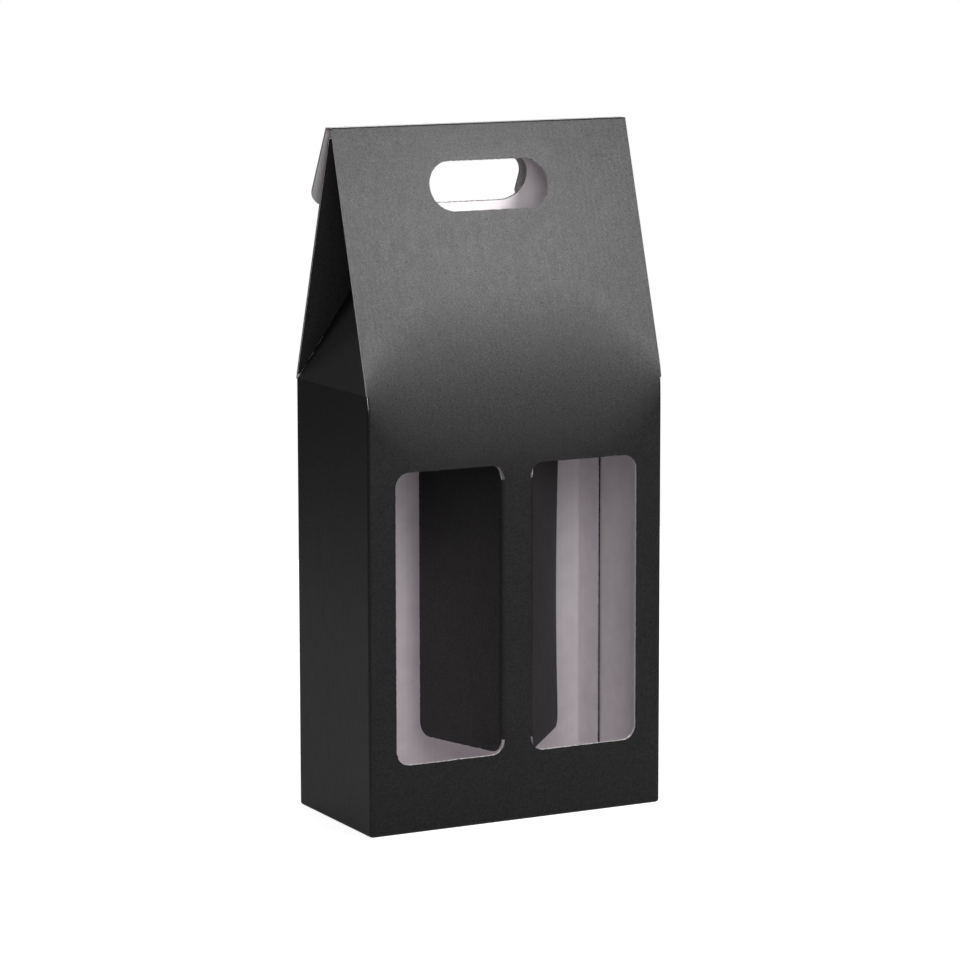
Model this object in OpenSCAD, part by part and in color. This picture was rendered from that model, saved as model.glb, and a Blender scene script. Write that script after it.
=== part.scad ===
// Two bottle carrier: a gable-top carton folded from one sheet of corrugated board.
// The panels between the creases are separate pieces. X runs across the two windows,
// the front faces -Y and the carton stands on Z = 0, centred on the origin.

/* [Carton] */
// Outside width, across the two windows
carton_w = 180; // [172:1:200]
// Outside depth, front to back
carton_d = 90; // [84:1:100]
// Height of the upright walls, up to the shoulder crease
shoulder_z = 240; // [228:1:260]
// Overall height, up to the top of the ridge
ridge_z = 380; // [365:1:400]
// Thickness of the corrugated board
board_t = 1.5; // [1.2:0.1:1.8]
// Clearance left at a crease that folds, and round a cut-out flap
crease_gap = 0.3; // [0.2:0.05:0.4]

/* [Windows] */
// Width of each window
window_w = 66; // [60:1:70]
// Height of each window
window_h = 160; // [140:1:170]
// Height of the windows' lower edge above the base
window_z = 38; // [30:1:45]
// Radius of the windows' corners
window_r = 8; // [5:1:12]
// Width of the board left between the two windows
mullion_w = 16; // [12:1:20]

/* [Divider flaps] */
// Angle by which the left cut-out is folded in
left_fold_deg = 74; // [60:1:88]
// Angle by which the right cut-out is folded in
right_fold_deg = 49; // [40:1:88]

/* [Gable and handle] */
// Distance of the ridge's front crease in front of the middle
ridge_front = 3; // [2:0.5:4]
// Width of the flat ridge strip
ridge_w = 7.5; // [7:0.5:9]
// Distance of the rear slope's top edge in front of the ridge's rear crease
rear_tuck = 3; // [2.5:0.5:4]
// Distance of the rear slope's top edge below the top of the ridge
rear_drop = 5; // [4:0.5:7]
// Length of the front hand hole from end to end
hole_w = 73; // [68:1:90]
// Length of the rear hand hole from end to end
rear_hole_w = 68; // [62:1:80]
// Distance by which the rear hand hole sits higher than the front one
rear_hole_rise = 2.3; // [0:0.1:4]
// Height of each hand hole, measured down the slope
hole_h = 28; // [24:1:32]
// Distance of the hand holes' upper edge from the ridge, down the slope
hole_drop = 20.3; // [18:0.1:26]

/* [Closure flap] */
// Length of the closure flap
flap_len = 49; // [44:1:60]
// Angle by which the closure flap stands off the rear slope
flap_open_deg = 10; // [9:0.5:16]
// Angle by which the closure flap can still close towards the rear slope
flap_close_deg = 8; // [4:0.5:8]
// Radius of the flap's outer corners
flap_r = 10; // [6:1:14]
// Distance of the flap's hand notch from the ridge's rear crease
notch_drop = 20; // [16:1:24]
// Width of the flap's hand notch
notch_w = 71; // [66:1:80]
// Radius of the corners at the mouth of the notch
notch_r = 5; // [3:1:8]

/* [Gussets] */
// Height of the gussets' peaks, as a share of the front slope's length
gusset_share = 0.695; // [0.6:0.005:0.75]
// Clearance along the slanting gusset creases
gusset_gap = 0.6; // [0.5:0.1:1.5]
// Width trimmed off the tip of each wing
wing_trim = 4; // [3:0.5:8]
// Distance of each front wing's upper corner below the end of its slope edge
wing_drop = 10; // [6:1:20]
// Distance of each rear wing's upper edge below the end of its slope edge
rear_wing_drop = 1; // [1:0.5:6]
// Width of the level part of each rear wing's upper edge
rear_wing_shelf = 5; // [3:0.5:6]

/* [Bottom and glue] */
// Distance by which the bottom's side flaps stop short of the locking lobes
side_flap_gap = 1.5; // [0.5:0.5:8]
// Length by which each bottom lobe laps over the opposite flap
lobe_lap = 14; // [8:1:20]
// Length of the slanting step in each lobe
lobe_step = 4; // [3:0.5:6]
// Width of the glue flap inside the right wall
glue_flap_w = 23; // [18:1:28]
// Diameter of each dot of glue
glue_dot_d = 6; // [4:0.5:8]
// Thickness of the dots of glue
glue_t = 0.3; // [0.2:0.05:0.4]
// Distance between the dots of glue
glue_pitch = 36; // [34:1:38]

/* [Hidden] */
$fn = 64;

outside = [0.16, 0.16, 0.17];
inside = [0.62, 0.61, 0.62];
hot_melt = [0.85, 0.83, 0.78];
// Length by which a cutting shape runs past what it cuts
overrun = 5;
half_gap = crease_gap / 2;
half_w = carton_w / 2;
half_d = carton_d / 2;
inner_w = half_w - board_t;
inner_d = half_d - board_t;

// The slopes lean in from the shoulder creases to the ridge
ridge_rear = ridge_w - ridge_front;
front_lean = atan((half_d - ridge_front) / (ridge_z - shoulder_z));
rear_top_y = ridge_rear - rear_tuck;
rear_top_z = ridge_z - rear_drop;
rear_lean = atan((half_d - rear_top_y) / (rear_top_z - shoulder_z));
front_slope_len = (ridge_z - shoulder_z) / cos(front_lean);
rear_slope_len = (rear_top_z - shoulder_z) / cos(rear_lean);
// Height above the shoulder at which each slope begins
slope_foot = half_gap;
// Half of the angle between boards at the ridge's two creases, when they are closed
flap_tilt = rear_lean + flap_open_deg;
front_mitre = (90 + front_lean) / 2;
rear_mitre = (90 + flap_tilt - flap_close_deg) / 2;
// The rear hole's upper edge, measured down its own slope
rear_hole_drop = hole_drop - rear_drop / cos(rear_lean) - rear_hole_rise;

// The wings fold about lines just inside the slopes' inner faces
function wing_root(lean) = half_d - (board_t + crease_gap) / cos(lean);
// Angle between the side shoulder creases and the slanting gusset creases
gusset_deg = atan(front_slope_len * gusset_share / wing_root(front_lean));
// Rise of a slanting gusset crease for each unit of its length, while its slope leans
function crease_rise(lean) = (sin(gusset_deg) - cos(gusset_deg) * sin(lean)) / cos(lean);
function crease_inset(lean) = sqrt(pow(sin(gusset_deg), 2) - pow(crease_rise(lean), 2));
function gusset_lean(lean) = acos(crease_rise(lean) / sin(gusset_deg));
function wing_fold(lean) = acos(crease_inset(lean) / cos(gusset_deg));

// The bottom flaps lie inside the walls
bottom_w = inner_w - crease_gap;
lobe_side = bottom_w - inner_d;
side_flap_len = inner_d - side_flap_gap;
glue_dots_count = floor((shoulder_z - 2 * glue_dot_d) / glue_pitch);
glue_dots_z = (shoulder_z - (glue_dots_count - 1) * glue_pitch) / 2;
// Distance of the dots of glue from the back wall, as a share of the glue flap's width
glue_dot_share = 0.35;
glue_dot_y = inner_d - glue_flap_w * glue_dot_share;
// The glue flap's ends slant in, as a share of its width
glue_slant_share = 0.35;
// The side bottom flaps' edges slant in, as a share of their length
side_flap_share = 0.25;
// Angle of an edge that is cut square through the board
square_cut = 90;

// A board whose outline in the Y-Z plane is given, running from x0 to x1
module cross_board(outline, x0, x1) {
    translate([x0, 0, 0]) rotate([90, 0, 90]) linear_extrude(x1 - x0) polygon(outline);
}

// A rectangle with round corners, centred on the origin
module round_rect(w, h, r) {
    square([w - 2 * r, h], center = true);
    square([w, h - 2 * r], center = true);
    for (sx = [-1, 1], sy = [-1, 1])
        translate([sx * (w / 2 - r), sy * (h / 2 - r)]) circle(r);
}

// A slot with round ends, centred on the origin
module slot(w, h) {
    square([w - h, h], center = true);
    for (side = [-1, 1])
        translate([side * (w - h) / 2, 0]) circle(h / 2);
}

// Local frames: X across the carton, Y down the board from its top, Z square to it
module at_front_slope() {
    translate([0, -ridge_front, ridge_z]) rotate([-90 - front_lean, 0, 0]) children();
}

module at_rear_slope() {
    translate([0, rear_top_y, rear_top_z]) rotate([rear_lean - 90, 0, 0]) children();
}

module at_closure_flap() {
    translate([0, ridge_rear, ridge_z]) rotate([flap_tilt - 90, 0, 0]) children();
}

// Hole through a board that lies in a local frame
module hand_hole(w, drop) {
    translate([0, drop + hole_h / 2, 0])
        linear_extrude(2 * overrun, center = true) slot(w, hole_h);
}

// Upright wall along X whose outer face is at Y = 0 and which has a rounded foot
module upright_wall(x0, x1, height) {
    intersection() {
        translate([x0, 0, 0]) rotate([90, 0, 90]) linear_extrude(x1 - x0) foot_profile(height);
        linear_extrude(height) end_plan(x0, x1);
    }
}

// Section of a wall: its outer lower edge is rounded where the bottom folds in
module foot_profile(height) {
    intersection() {
        union() {
            translate([0, board_t]) square([board_t, height - board_t]);
            translate([board_t, board_t]) circle(board_t);
        }
        square([board_t, height]);
    }
}

// Plan of a wall whose outer vertical edges are rounded
module end_plan(x0, x1) {
    intersection() {
        union() {
            translate([x0 + board_t, 0]) square([x1 - x0 - 2 * board_t, board_t]);
            for (x = [x0 + board_t, x1 - board_t])
                translate([x, board_t]) circle(board_t);
        }
        translate([x0, 0]) square([x1 - x0, board_t]);
    }
}

module window_cut(side) {
    translate([side * (mullion_w + window_w) / 2, -half_d, window_z + window_h / 2])
        rotate([90, 0, 0]) linear_extrude(2 * overrun, center = true)
            round_rect(window_w, window_h, window_r);
}

module front_panel() {
    color(outside) difference() {
        translate([0, -half_d, 0]) upright_wall(-half_w, half_w, shoulder_z - half_gap);
        for (side = [-1, 1]) window_cut(side);
    }
}

// The back wall ends inside the right wall, where the glue flap carries on from it
module back_panel() {
    color(outside) translate([0, half_d, 0]) mirror([0, 1, 0])
        upright_wall(-half_w, inner_w, shoulder_z - half_gap);
}

// Side wall in plan from the front panel to y1, before it is placed
module side_wall(y1) {
    rotate([90, 0, 0]) mirror([0, 0, 1]) translate([0, 0, -inner_d])
        linear_extrude(y1 + inner_d) foot_profile(shoulder_z - half_gap);
}

module left_side_panel() {
    color(outside) translate([-half_w, 0, 0]) side_wall(inner_d);
}

module right_side_panel() {
    color(outside) translate([half_w, 0, 0]) mirror([1, 0, 0]) side_wall(half_d);
}

module glue_flap() {
    slant = glue_flap_w * glue_slant_share;
    low = 2 * board_t + crease_gap;
    high = shoulder_z - board_t;
    color(inside) translate([inner_w - glue_t - board_t, 0, 0])
        cross_board([
            [inner_d, low], [inner_d - glue_flap_w, low + slant],
            [inner_d - glue_flap_w, high - slant], [inner_d, high]
        ], 0, board_t);
}

module glue_dots() {
    color(hot_melt) for (i = [0 : glue_dots_count - 1])
        translate([inner_w - glue_t, glue_dot_y, glue_dots_z + i * glue_pitch])
            rotate([0, 90, 0]) cylinder(d = glue_dot_d, h = glue_t);
}

// Section of a bottom flap at its lobe, which steps up over the opposite flap
function lobe_section() = [
    [-inner_d, 0], [-lobe_step, 0], [0, board_t], [lobe_lap, board_t],
    [lobe_lap, 2 * board_t], [-half_gap, 2 * board_t],
    [-lobe_step - half_gap, board_t], [-inner_d, board_t]
];

// The bottom's front flap; the back one is the same turned half round
module locking_flap() {
    step_y = -lobe_step - crease_gap;
    linear_extrude(board_t) polygon([
        [-bottom_w + crease_gap, -inner_d], [bottom_w, -inner_d], [bottom_w, -crease_gap],
        [-crease_gap, -crease_gap], [-crease_gap, step_y], [step_y - lobe_side + crease_gap, step_y]
    ]);
    cross_board(lobe_section(), -lobe_side + crease_gap, -crease_gap);
}

// Triangle beyond the slanting crease of a locking flap, glued under a side flap
module glue_tab() {
    linear_extrude(board_t) polygon([
        [-bottom_w, -inner_d + crease_gap], [-lobe_side - 2 * crease_gap, -crease_gap],
        [-bottom_w, -crease_gap]
    ]);
}

module front_bottom_flap() {
    color(outside) locking_flap();
}

module back_bottom_flap() {
    color(outside) rotate(180) locking_flap();
}

module front_glue_tab() {
    color(outside) glue_tab();
}

module back_glue_tab() {
    color(outside) rotate(180) glue_tab();
}

// Side flap of the bottom, lying on the locking flaps
module side_bottom_flap() {
    slant = side_flap_len * side_flap_share;
    color(inside) translate([-inner_w, 0, board_t]) linear_extrude(board_t) polygon([
        [0, -inner_d], [side_flap_len, slant - inner_d],
        [side_flap_len, inner_d - slant], [0, inner_d]
    ]);
}

module left_bottom_flap() {
    side_bottom_flap();
}

module right_bottom_flap() {
    mirror([1, 0, 0]) side_bottom_flap();
}

// Section of a board from its outer upper edge at the origin: Y runs down it, Z is
// its depth, and both ends are cut slanting
function board_section(length, depth, top_cut, foot_cut) = [
    [half_gap / sin(top_cut), 0], [length - foot_cut[0], 0],
    [length - foot_cut[0] - foot_cut[1], depth],
    [half_gap / sin(top_cut) + abs(depth) / tan(top_cut), depth]
];

module front_slope() {
    foot = [slope_foot / cos(front_lean), board_t * tan(front_lean)];
    color(outside) at_front_slope() difference() {
        cross_board(board_section(front_slope_len, board_t, front_mitre, foot), -half_w, half_w);
        hand_hole(hole_w, hole_drop);
    }
}

module rear_slope() {
    foot = [slope_foot / cos(rear_lean), board_t * tan(rear_lean)];
    color(outside) at_rear_slope() difference() {
        cross_board(board_section(rear_slope_len, -board_t, square_cut, foot), -half_w, half_w);
        hand_hole(rear_hole_w, rear_hole_drop);
    }
}

module ridge_strip() {
    front_end = half_gap / sin(front_mitre);
    rear_end = half_gap / sin(rear_mitre);
    color(outside) translate([0, -ridge_front, ridge_z]) cross_board([
        [front_end, 0], [ridge_w - rear_end, 0],
        [ridge_w - rear_end - board_t / tan(rear_mitre), -board_t],
        [front_end + board_t / tan(front_mitre), -board_t]
    ], -half_w, half_w);
}

// Outline of the closure flap: round outer corners and a notch that is open below
module closure_outline() {
    difference() {
        union() {
            translate([-half_w, 0]) square([carton_w, flap_len - flap_r]);
            translate([flap_r - half_w, 0]) square([carton_w - 2 * flap_r, flap_len]);
            for (side = [-1, 1])
                translate([side * (half_w - flap_r), flap_len - flap_r]) circle(flap_r);
        }
        notch_outline();
    }
}

// The hand notch, with round inner and mouth corners
module notch_outline() {
    inner_r = hole_h / 2;
    translate([0, notch_drop + inner_r]) union() {
        slot(notch_w, hole_h);
        translate([-notch_w / 2, 0]) square([notch_w, flap_len]);
    }
    for (side = [-1, 1])
        translate([side * (notch_w + notch_r) / 2, flap_len - notch_r / 2])
            difference() {
                square([notch_r, notch_r], center = true);
                translate([side * notch_r / 2, -notch_r / 2]) circle(notch_r);
            }
}

module closure_flap() {
    root = board_section(flap_len, -board_t, rear_mitre, [0, 0]);
    color(outside) at_closure_flap() intersection() {
        cross_board(root, -half_w, half_w);
        translate([0, 0, -board_t]) linear_extrude(board_t) closure_outline();
    }
}

// Triangle that leans in from a side wall's shoulder crease
module side_gusset() {
    root = wing_root(front_lean);
    foot = root - gusset_gap / sin(gusset_deg);
    color(outside) intersection() {
        translate([-half_w, 0, shoulder_z]) rotate([0, gusset_lean(front_lean), 0])
            cross_board([
                [-foot, -board_t], [foot, -board_t], [foot, 0],
                [0, root * tan(gusset_deg) - gusset_gap / cos(gusset_deg)], [-foot, 0]
            ], 0, board_t);
        translate([-half_w, -half_d, shoulder_z + half_gap])
            cube([half_w, carton_d, ridge_z - shoulder_z]);
    }
}

module left_gusset() {
    side_gusset();
}

module right_gusset() {
    mirror([1, 0, 0]) side_gusset();
}

// Outline of a wing: X across from its slope's edge, Y up that edge. Its upper edge is
// level as far as shelf and slants down from there
function wing_outline(root, top, shelf) =
    let (tip_x = root - wing_trim, peak = root * tan(gusset_deg),
         foot = gusset_gap / cos(gusset_deg))
    [
        [0, foot], [tip_x, foot + tip_x * tan(gusset_deg)],
        [tip_x, top + (peak - top) * tip_x / root], [shelf, top], [0, top]
    ];

// Wing on the left edge of a front slope that leans by the given angle
module gusset_wing(lean, slope_len, drop, shelf) {
    root = wing_root(lean);
    fold = wing_fold(lean);
    outline = wing_outline(root, slope_len - drop, shelf);
    color(outside) translate([-half_w, -root, shoulder_z]) rotate([-lean, 0, 0])
        intersection() {
            rotate([0, 0, fold]) rotate([90, 0, 0]) linear_extrude(board_t) polygon(outline);
            cube([half_w, carton_d, slope_len]);
        }
}

module front_left_wing() {
    gusset_wing(front_lean, front_slope_len, wing_drop, 0);
}

module front_right_wing() {
    mirror([1, 0, 0]) gusset_wing(front_lean, front_slope_len, wing_drop, 0);
}

module rear_left_wing() {
    mirror([0, 1, 0]) gusset_wing(rear_lean, rear_slope_len, rear_wing_drop, rear_wing_shelf);
}

module rear_right_wing() {
    rotate(180) gusset_wing(rear_lean, rear_slope_len, rear_wing_drop, rear_wing_shelf);
}

// A window's cut-out, folded in about the window's edge beside the mullion.
// It is drawn for the right window: X runs out from the fold
module divider_flap(fold_deg) {
    flap_w = window_w - 2 * crease_gap;
    flap_h = window_h - 2 * crease_gap;
    color(outside) translate([mullion_w / 2 + crease_gap, -inner_d, window_z + window_h / 2])
        rotate([0, 0, fold_deg]) translate([flap_w / 2, 0, 0]) rotate([90, 0, 0])
            linear_extrude(board_t) round_rect(flap_w, flap_h, window_r - crease_gap);
}

module left_divider_flap() {
    mirror([1, 0, 0]) divider_flap(left_fold_deg);
}

module right_divider_flap() {
    divider_flap(right_fold_deg);
}

front_panel();
back_panel();
left_side_panel();
right_side_panel();
glue_flap();
glue_dots();
front_bottom_flap();
back_bottom_flap();
left_bottom_flap();
right_bottom_flap();
front_glue_tab();
back_glue_tab();
front_slope();
rear_slope();
ridge_strip();
closure_flap();
left_gusset();
right_gusset();
front_left_wing();
front_right_wing();
rear_left_wing();
rear_right_wing();
left_divider_flap();
right_divider_flap();
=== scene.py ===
"""Looks of a gable-top carrier carton for two bottles, folded from one sheet of corrugated board.

Every panel between two creases is one piece. A piece is drawn flat, as it lies in the cut sheet,
turned into two liners and a fluted middle by a node tree, and then folded into its place. Lengths
are in millimetres until a mesh is written. Across, along and inward are a panel's own directions:
across the flutes, along the flutes, and from the printed face to the plain one.
"""

import logging
import math
from collections.abc import Callable, Sequence
from dataclasses import dataclass, field
from enum import Enum
from typing import ClassVar

import bpy
import numpy as np
from mathutils import Matrix, Vector
from mathutils.geometry import delaunay_2d_cdt


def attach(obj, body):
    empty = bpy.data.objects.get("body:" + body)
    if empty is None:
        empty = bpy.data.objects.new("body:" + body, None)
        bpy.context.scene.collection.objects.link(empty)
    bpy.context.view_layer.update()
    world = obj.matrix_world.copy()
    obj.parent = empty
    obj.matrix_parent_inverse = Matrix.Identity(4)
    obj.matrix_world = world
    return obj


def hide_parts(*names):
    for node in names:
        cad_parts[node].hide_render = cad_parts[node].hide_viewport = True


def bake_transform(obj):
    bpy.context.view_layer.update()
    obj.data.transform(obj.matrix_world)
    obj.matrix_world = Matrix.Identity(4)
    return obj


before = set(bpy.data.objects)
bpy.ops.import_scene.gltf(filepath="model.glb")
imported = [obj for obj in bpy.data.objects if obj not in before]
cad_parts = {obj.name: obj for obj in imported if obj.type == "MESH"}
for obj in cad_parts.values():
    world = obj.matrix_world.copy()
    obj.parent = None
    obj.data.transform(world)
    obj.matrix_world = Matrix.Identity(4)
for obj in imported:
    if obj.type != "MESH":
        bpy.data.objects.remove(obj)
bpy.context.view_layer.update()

log = logging.getLogger("carton")

MM = 0.001  # One millimetre, in metres.
SHEET_MAP = "sheet"
SHEET_UNIT = 10.0  # Millimetres of sheet for one unit of its UV map.
CUT_EDGE = "cut_edge"
HALF_CORNER = math.pi / 4  # Each panel's share of a square corner.
QUARTER = math.pi / 2
INWARD = (0.0, 0.0, 1.0)
WHITE = (1.0, 1.0, 1.0, 1.0)

Point = tuple[float, float]
Triple = tuple[float, float, float]
Colour = tuple[float, float, float]
Loop = list[Point]
Warp = Callable[[np.ndarray], np.ndarray]
Inputs = dict[str | int, object]


def eased(share: np.ndarray) -> np.ndarray:
    """Gives shares from 0 to 1 a gentle start and end."""
    return share * share * (3 - 2 * share)


class Side(Enum):
    """End of the carton, as seen from the front."""

    LEFT = -1
    RIGHT = 1

    @property
    def word(self) -> str:
        """Name of the side as the pieces have it."""
        return self.name.lower()


class Slope(Enum):
    """Slope of the gable."""

    FRONT = "front"
    REAR = "rear"


@dataclass(frozen=True)
class Board:
    """Layers of the corrugated board.

    Attributes:
        thickness: Thickness of the whole board.
        liner: Thickness of each liner.
        paper: Thickness of the fluting's paper.
        pitch: Length of one flute.
        sag: Depth by which the liners sink in between the flutes.
        steps: Number of parts into which a flute is divided.
    """

    thickness: float = 1.5
    liner: float = 0.25
    paper: float = 0.16
    pitch: float = 3.4
    sag: float = 0.012
    steps: int = 6

    @property
    def wave(self) -> float:
        """Height of the fluting's middle line from trough to crest."""
        return self.thickness - 2 * self.liner - self.paper


@dataclass(frozen=True)
class Carton:
    """Sizes of the folded carton, the same as the solids'."""

    width: float = 180.0
    depth: float = 90.0
    shoulder: float = 240.0
    ridge: float = 380.0
    board: Board = Board()
    gap: float = 0.3
    window_w: float = 66.0
    window_h: float = 160.0
    window_z: float = 38.0
    window_r: float = 8.0
    mullion: float = 16.0
    ridge_front: float = 3.0
    ridge_w: float = 7.5
    rear_tuck: float = 3.0
    rear_drop: float = 5.0
    hole_w: float = 73.0
    rear_hole_w: float = 68.0
    hole_h: float = 28.0
    hole_drop: float = 20.3
    rear_hole_rise: float = 2.3
    gusset_share: float = 0.695
    flap_open: float = math.radians(10.0)
    corner_r: float = 1.9

    @property
    def half_w(self) -> float:
        """Half of the outside width."""
        return self.width / 2

    @property
    def half_d(self) -> float:
        """Half of the outside depth."""
        return self.depth / 2

    @property
    def inner_w(self) -> float:
        """Half of the inside width."""
        return self.half_w - self.board.thickness

    @property
    def inner_d(self) -> float:
        """Half of the inside depth."""
        return self.half_d - self.board.thickness

    def rise(self, slope: Slope) -> float:
        """Height of a slope's upper edge above the shoulder."""
        return self.ridge - self.shoulder - (self.rear_drop if slope is Slope.REAR else 0.0)

    def run(self, slope: Slope) -> float:
        """Distance that a slope leans in.

        Args:
            slope: Which of the two.

        Returns:
            The distance from its shoulder to its upper edge, along Y.
        """
        if slope is Slope.FRONT:
            return self.half_d - self.ridge_front
        return self.half_d - (self.ridge_w - self.ridge_front - self.rear_tuck)

    def lean(self, slope: Slope) -> float:
        """Angle of a slope off the vertical."""
        return math.atan2(self.run(slope), self.rise(slope))

    def slope_length(self, slope: Slope) -> float:
        """Length of a slope from its shoulder crease to its upper edge."""
        return math.hypot(self.run(slope), self.rise(slope))

    @property
    def flap_tilt(self) -> float:
        """Angle of the closure flap off the vertical."""
        return self.lean(Slope.REAR) + self.flap_open

    def wing_root(self, slope: Slope) -> float:
        """Distance of a wing's folding line from the middle, at the shoulder."""
        return self.half_d - (self.board.thickness + self.gap) / math.cos(self.lean(slope))

    @property
    def gusset_angle(self) -> float:
        """Angle between the side shoulder crease and the slanting gusset creases."""
        reach = self.slope_length(Slope.FRONT) * self.gusset_share
        return math.atan2(reach, self.wing_root(Slope.FRONT))

    def crease_rise(self, slope: Slope) -> float:
        """Rise of a slanting crease for each unit of its length."""
        angle, lean = self.gusset_angle, self.lean(slope)
        return (math.sin(angle) - math.cos(angle) * math.sin(lean)) / math.cos(lean)

    @property
    def gusset_lean(self) -> float:
        """Angle of the gussets off the vertical."""
        return math.acos(self.crease_rise(Slope.FRONT) / math.sin(self.gusset_angle))

    def wing_fold(self, slope: Slope) -> float:
        """Angle between a wing and its slope's inner face.

        Args:
            slope: The slope that carries the wing.

        Returns:
            The angle at which the wing's slanting edge meets the gusset's.
        """
        angle = self.gusset_angle
        inset = math.sqrt(math.sin(angle) ** 2 - self.crease_rise(slope) ** 2)
        return math.acos(inset / math.cos(angle))


@dataclass(frozen=True)
class Fold:
    """Rounded fold at one end of a panel.

    Attributes:
        start: Place where the flat part ends.
        turn: This panel's share of the whole turn.
        radius: Radius of the printed face.
        high: True at the panel's high end.
    """

    LEAST_PARTS: ClassVar[int] = 4
    PART_RADIUS: ClassVar[float] = 20.0
    LEAST_SHARE: ClassVar[float] = 1e-3

    start: float
    turn: float
    radius: float
    high: bool

    @classmethod
    def at_corner(cls, corner: float, turn: float, radius: float, high: bool) -> "Fold":
        """Fold whose two flat faces would meet at a sharp corner."""
        reach = radius * math.tan(turn)
        return cls(corner - reach if high else corner + reach, turn, radius, high)

    @property
    def sign(self) -> float:
        """Direction along the sheet in which the fold runs."""
        return 1.0 if self.high else -1.0

    @property
    def end(self) -> float:
        """Place in the flat sheet where this panel ends."""
        return self.start + self.sign * self.radius * self.turn

    def lines(self) -> list[float]:
        """Places where the rounded part is divided. A wide fold has more of them."""
        parts = self.LEAST_PARTS + round(self.radius / self.PART_RADIUS)
        return [self.start + (self.end - self.start) * k / parts for k in range(parts)]

    def stops(self) -> list[float]:
        """Places along the fold where its lines need a point. A plain fold needs none."""
        return []

    def strength(self, reach: np.ndarray, beside: np.ndarray) -> np.ndarray:
        """Gives the share of the turn that each point takes, by its reach beyond the start."""
        return (reach > 0).astype(float)

    def pressed(self, depth: np.ndarray, reach: np.ndarray) -> np.ndarray:
        """Gives the depths of points in the fold. A plain fold keeps the board's thickness."""
        return depth

    def bend(self, place: np.ndarray, depth: np.ndarray, beside: np.ndarray) -> None:
        """Moves points beyond the start round the fold.

        Args:
            place: Places along the sheet, square to the fold, changed in this call.
            depth: Depths below the printed face, changed in this call.
            beside: Places along the fold.
        """
        reach = (place - self.start) * self.sign
        share = self.strength(reach, beside)
        moved = share > self.LEAST_SHARE
        radius = self.radius / share[moved]
        angle = reach[moved] / radius
        inner = radius - self.pressed(depth[moved], reach[moved])
        place[moved] = self.start + self.sign * inner * np.sin(angle)
        depth[moved] = radius - inner * np.cos(angle)


@dataclass(frozen=True)
class SoftFold(Fold):
    """Fold that is tight at both ends of its crease and soft in the middle, where the board is free.

    Attributes:
        corner: Place where the two flat faces would meet.
        half: Half of the crease's length.
        middle: Radius of the printed face in the middle of the crease, if it were round.
        early: Share of the turn that the middle takes early, in its first part.
        quick: Rate at which it takes it.
        paired: The same share in the half of the bend for which middle holds, so that both meet.
    """

    PARTS: ClassVar[int] = 24
    SAMPLES: ClassVar[int] = 24
    STIFFNESS: ClassVar[int] = 4

    corner: float = 0.0
    half: float = 90.0
    middle: float = 330.0
    early: float = 0.55
    quick: float = 5.0
    paired: float = 0.55

    @classmethod
    def soft(cls, corner: float, turn: float, radius: float, high: bool, half: float,
             early: float = 0.55) -> "SoftFold":
        """Soft fold whose two flat faces would meet at a corner, with its radius at the ends."""
        plain = Fold.at_corner(corner, turn, radius, high)
        return cls(plain.start, turn, radius, high, corner, half, early=early)

    def depth_share(self, early: float, free: np.ndarray | float) -> np.ndarray | float:
        """Gives the mean angle over the bend.

        Args:
            early: Share of the turn that the middle takes early.
            free: How freely the board bends, from 0 at the crease's ends to 1 in its middle.

        Returns:
            The mean angle, as a share of the whole turn.
        """
        rate = math.exp(-self.quick)
        ahead = 1.0 / (1.0 - rate) - 1.0 / self.quick
        return 0.5 + early * free * (ahead - 0.5)

    def radii(self, free: np.ndarray | float) -> np.ndarray | float:
        """Gives the radius that brings this half as deep as the other."""
        radius = self.radius + (self.middle - self.radius) * free
        return radius * self.depth_share(self.paired, free) / self.depth_share(self.early, free)

    def begins(self, radius: np.ndarray | float) -> np.ndarray | float:
        """Gives the place where the flat part ends, for a radius."""
        return self.corner - self.sign * radius * math.tan(self.turn)

    def lines(self) -> list[float]:
        """Places where the rounded part is divided."""
        first = self.begins(self.radii(1.0))
        return [first + (self.end - first) * k / self.PARTS for k in range(self.PARTS)]

    def angles(self, share: np.ndarray, free: np.ndarray) -> np.ndarray:
        """Gives the angle turned so far, which grows evenly at the ends and early in the middle.

        Args:
            share: Share of the way through the bend.
            free: How freely the board bends there.

        Returns:
            The angle.
        """
        ahead = self.early * (1.0 - np.exp(-self.quick * share)) / (1.0 - math.exp(-self.quick))
        return self.turn * (share * (1.0 - self.early * free) + ahead * free)

    def travel(self, share: np.ndarray, free: np.ndarray) -> tuple[np.ndarray, np.ndarray]:
        """Adds up the way through the bend.

        Args:
            share: Share of the way through the bend.
            free: How freely the board bends there.

        Returns:
            The way forward and the way inward, for each unit of the bend's length.
        """
        steps = (np.arange(self.SAMPLES) + 0.5) / self.SAMPLES
        angles = self.angles(share[:, None] * steps, free[:, None])
        return share * np.cos(angles).mean(axis=1), share * np.sin(angles).mean(axis=1)

    def bend(self, place: np.ndarray, depth: np.ndarray, beside: np.ndarray) -> None:
        """Moves points beyond the start round the fold.

        Args:
            place: Places along the sheet, square to the fold, changed in this call.
            depth: Depths below the printed face, changed in this call.
            beside: Places along the fold.
        """
        free = 1.0 - np.clip(np.abs(beside) / self.half, 0.0, 1.0) ** self.STIFFNESS
        start = self.begins(self.radii(free))
        share = np.maximum((place - start) / (self.end - start), 0.0)
        moved = share > 0
        share, free, start = share[moved], free[moved], start[moved]
        ahead, inward = self.travel(np.ones_like(share), free)
        length = np.abs(self.corner - start) / (ahead + inward * math.tan(self.turn))
        forward, down = self.travel(share, free)
        angle, below = self.angles(share, free), depth[moved]
        place[moved] = start + self.sign * (length * forward - below * np.sin(angle))
        depth[moved] = length * down + below * np.cos(angle)


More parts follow.
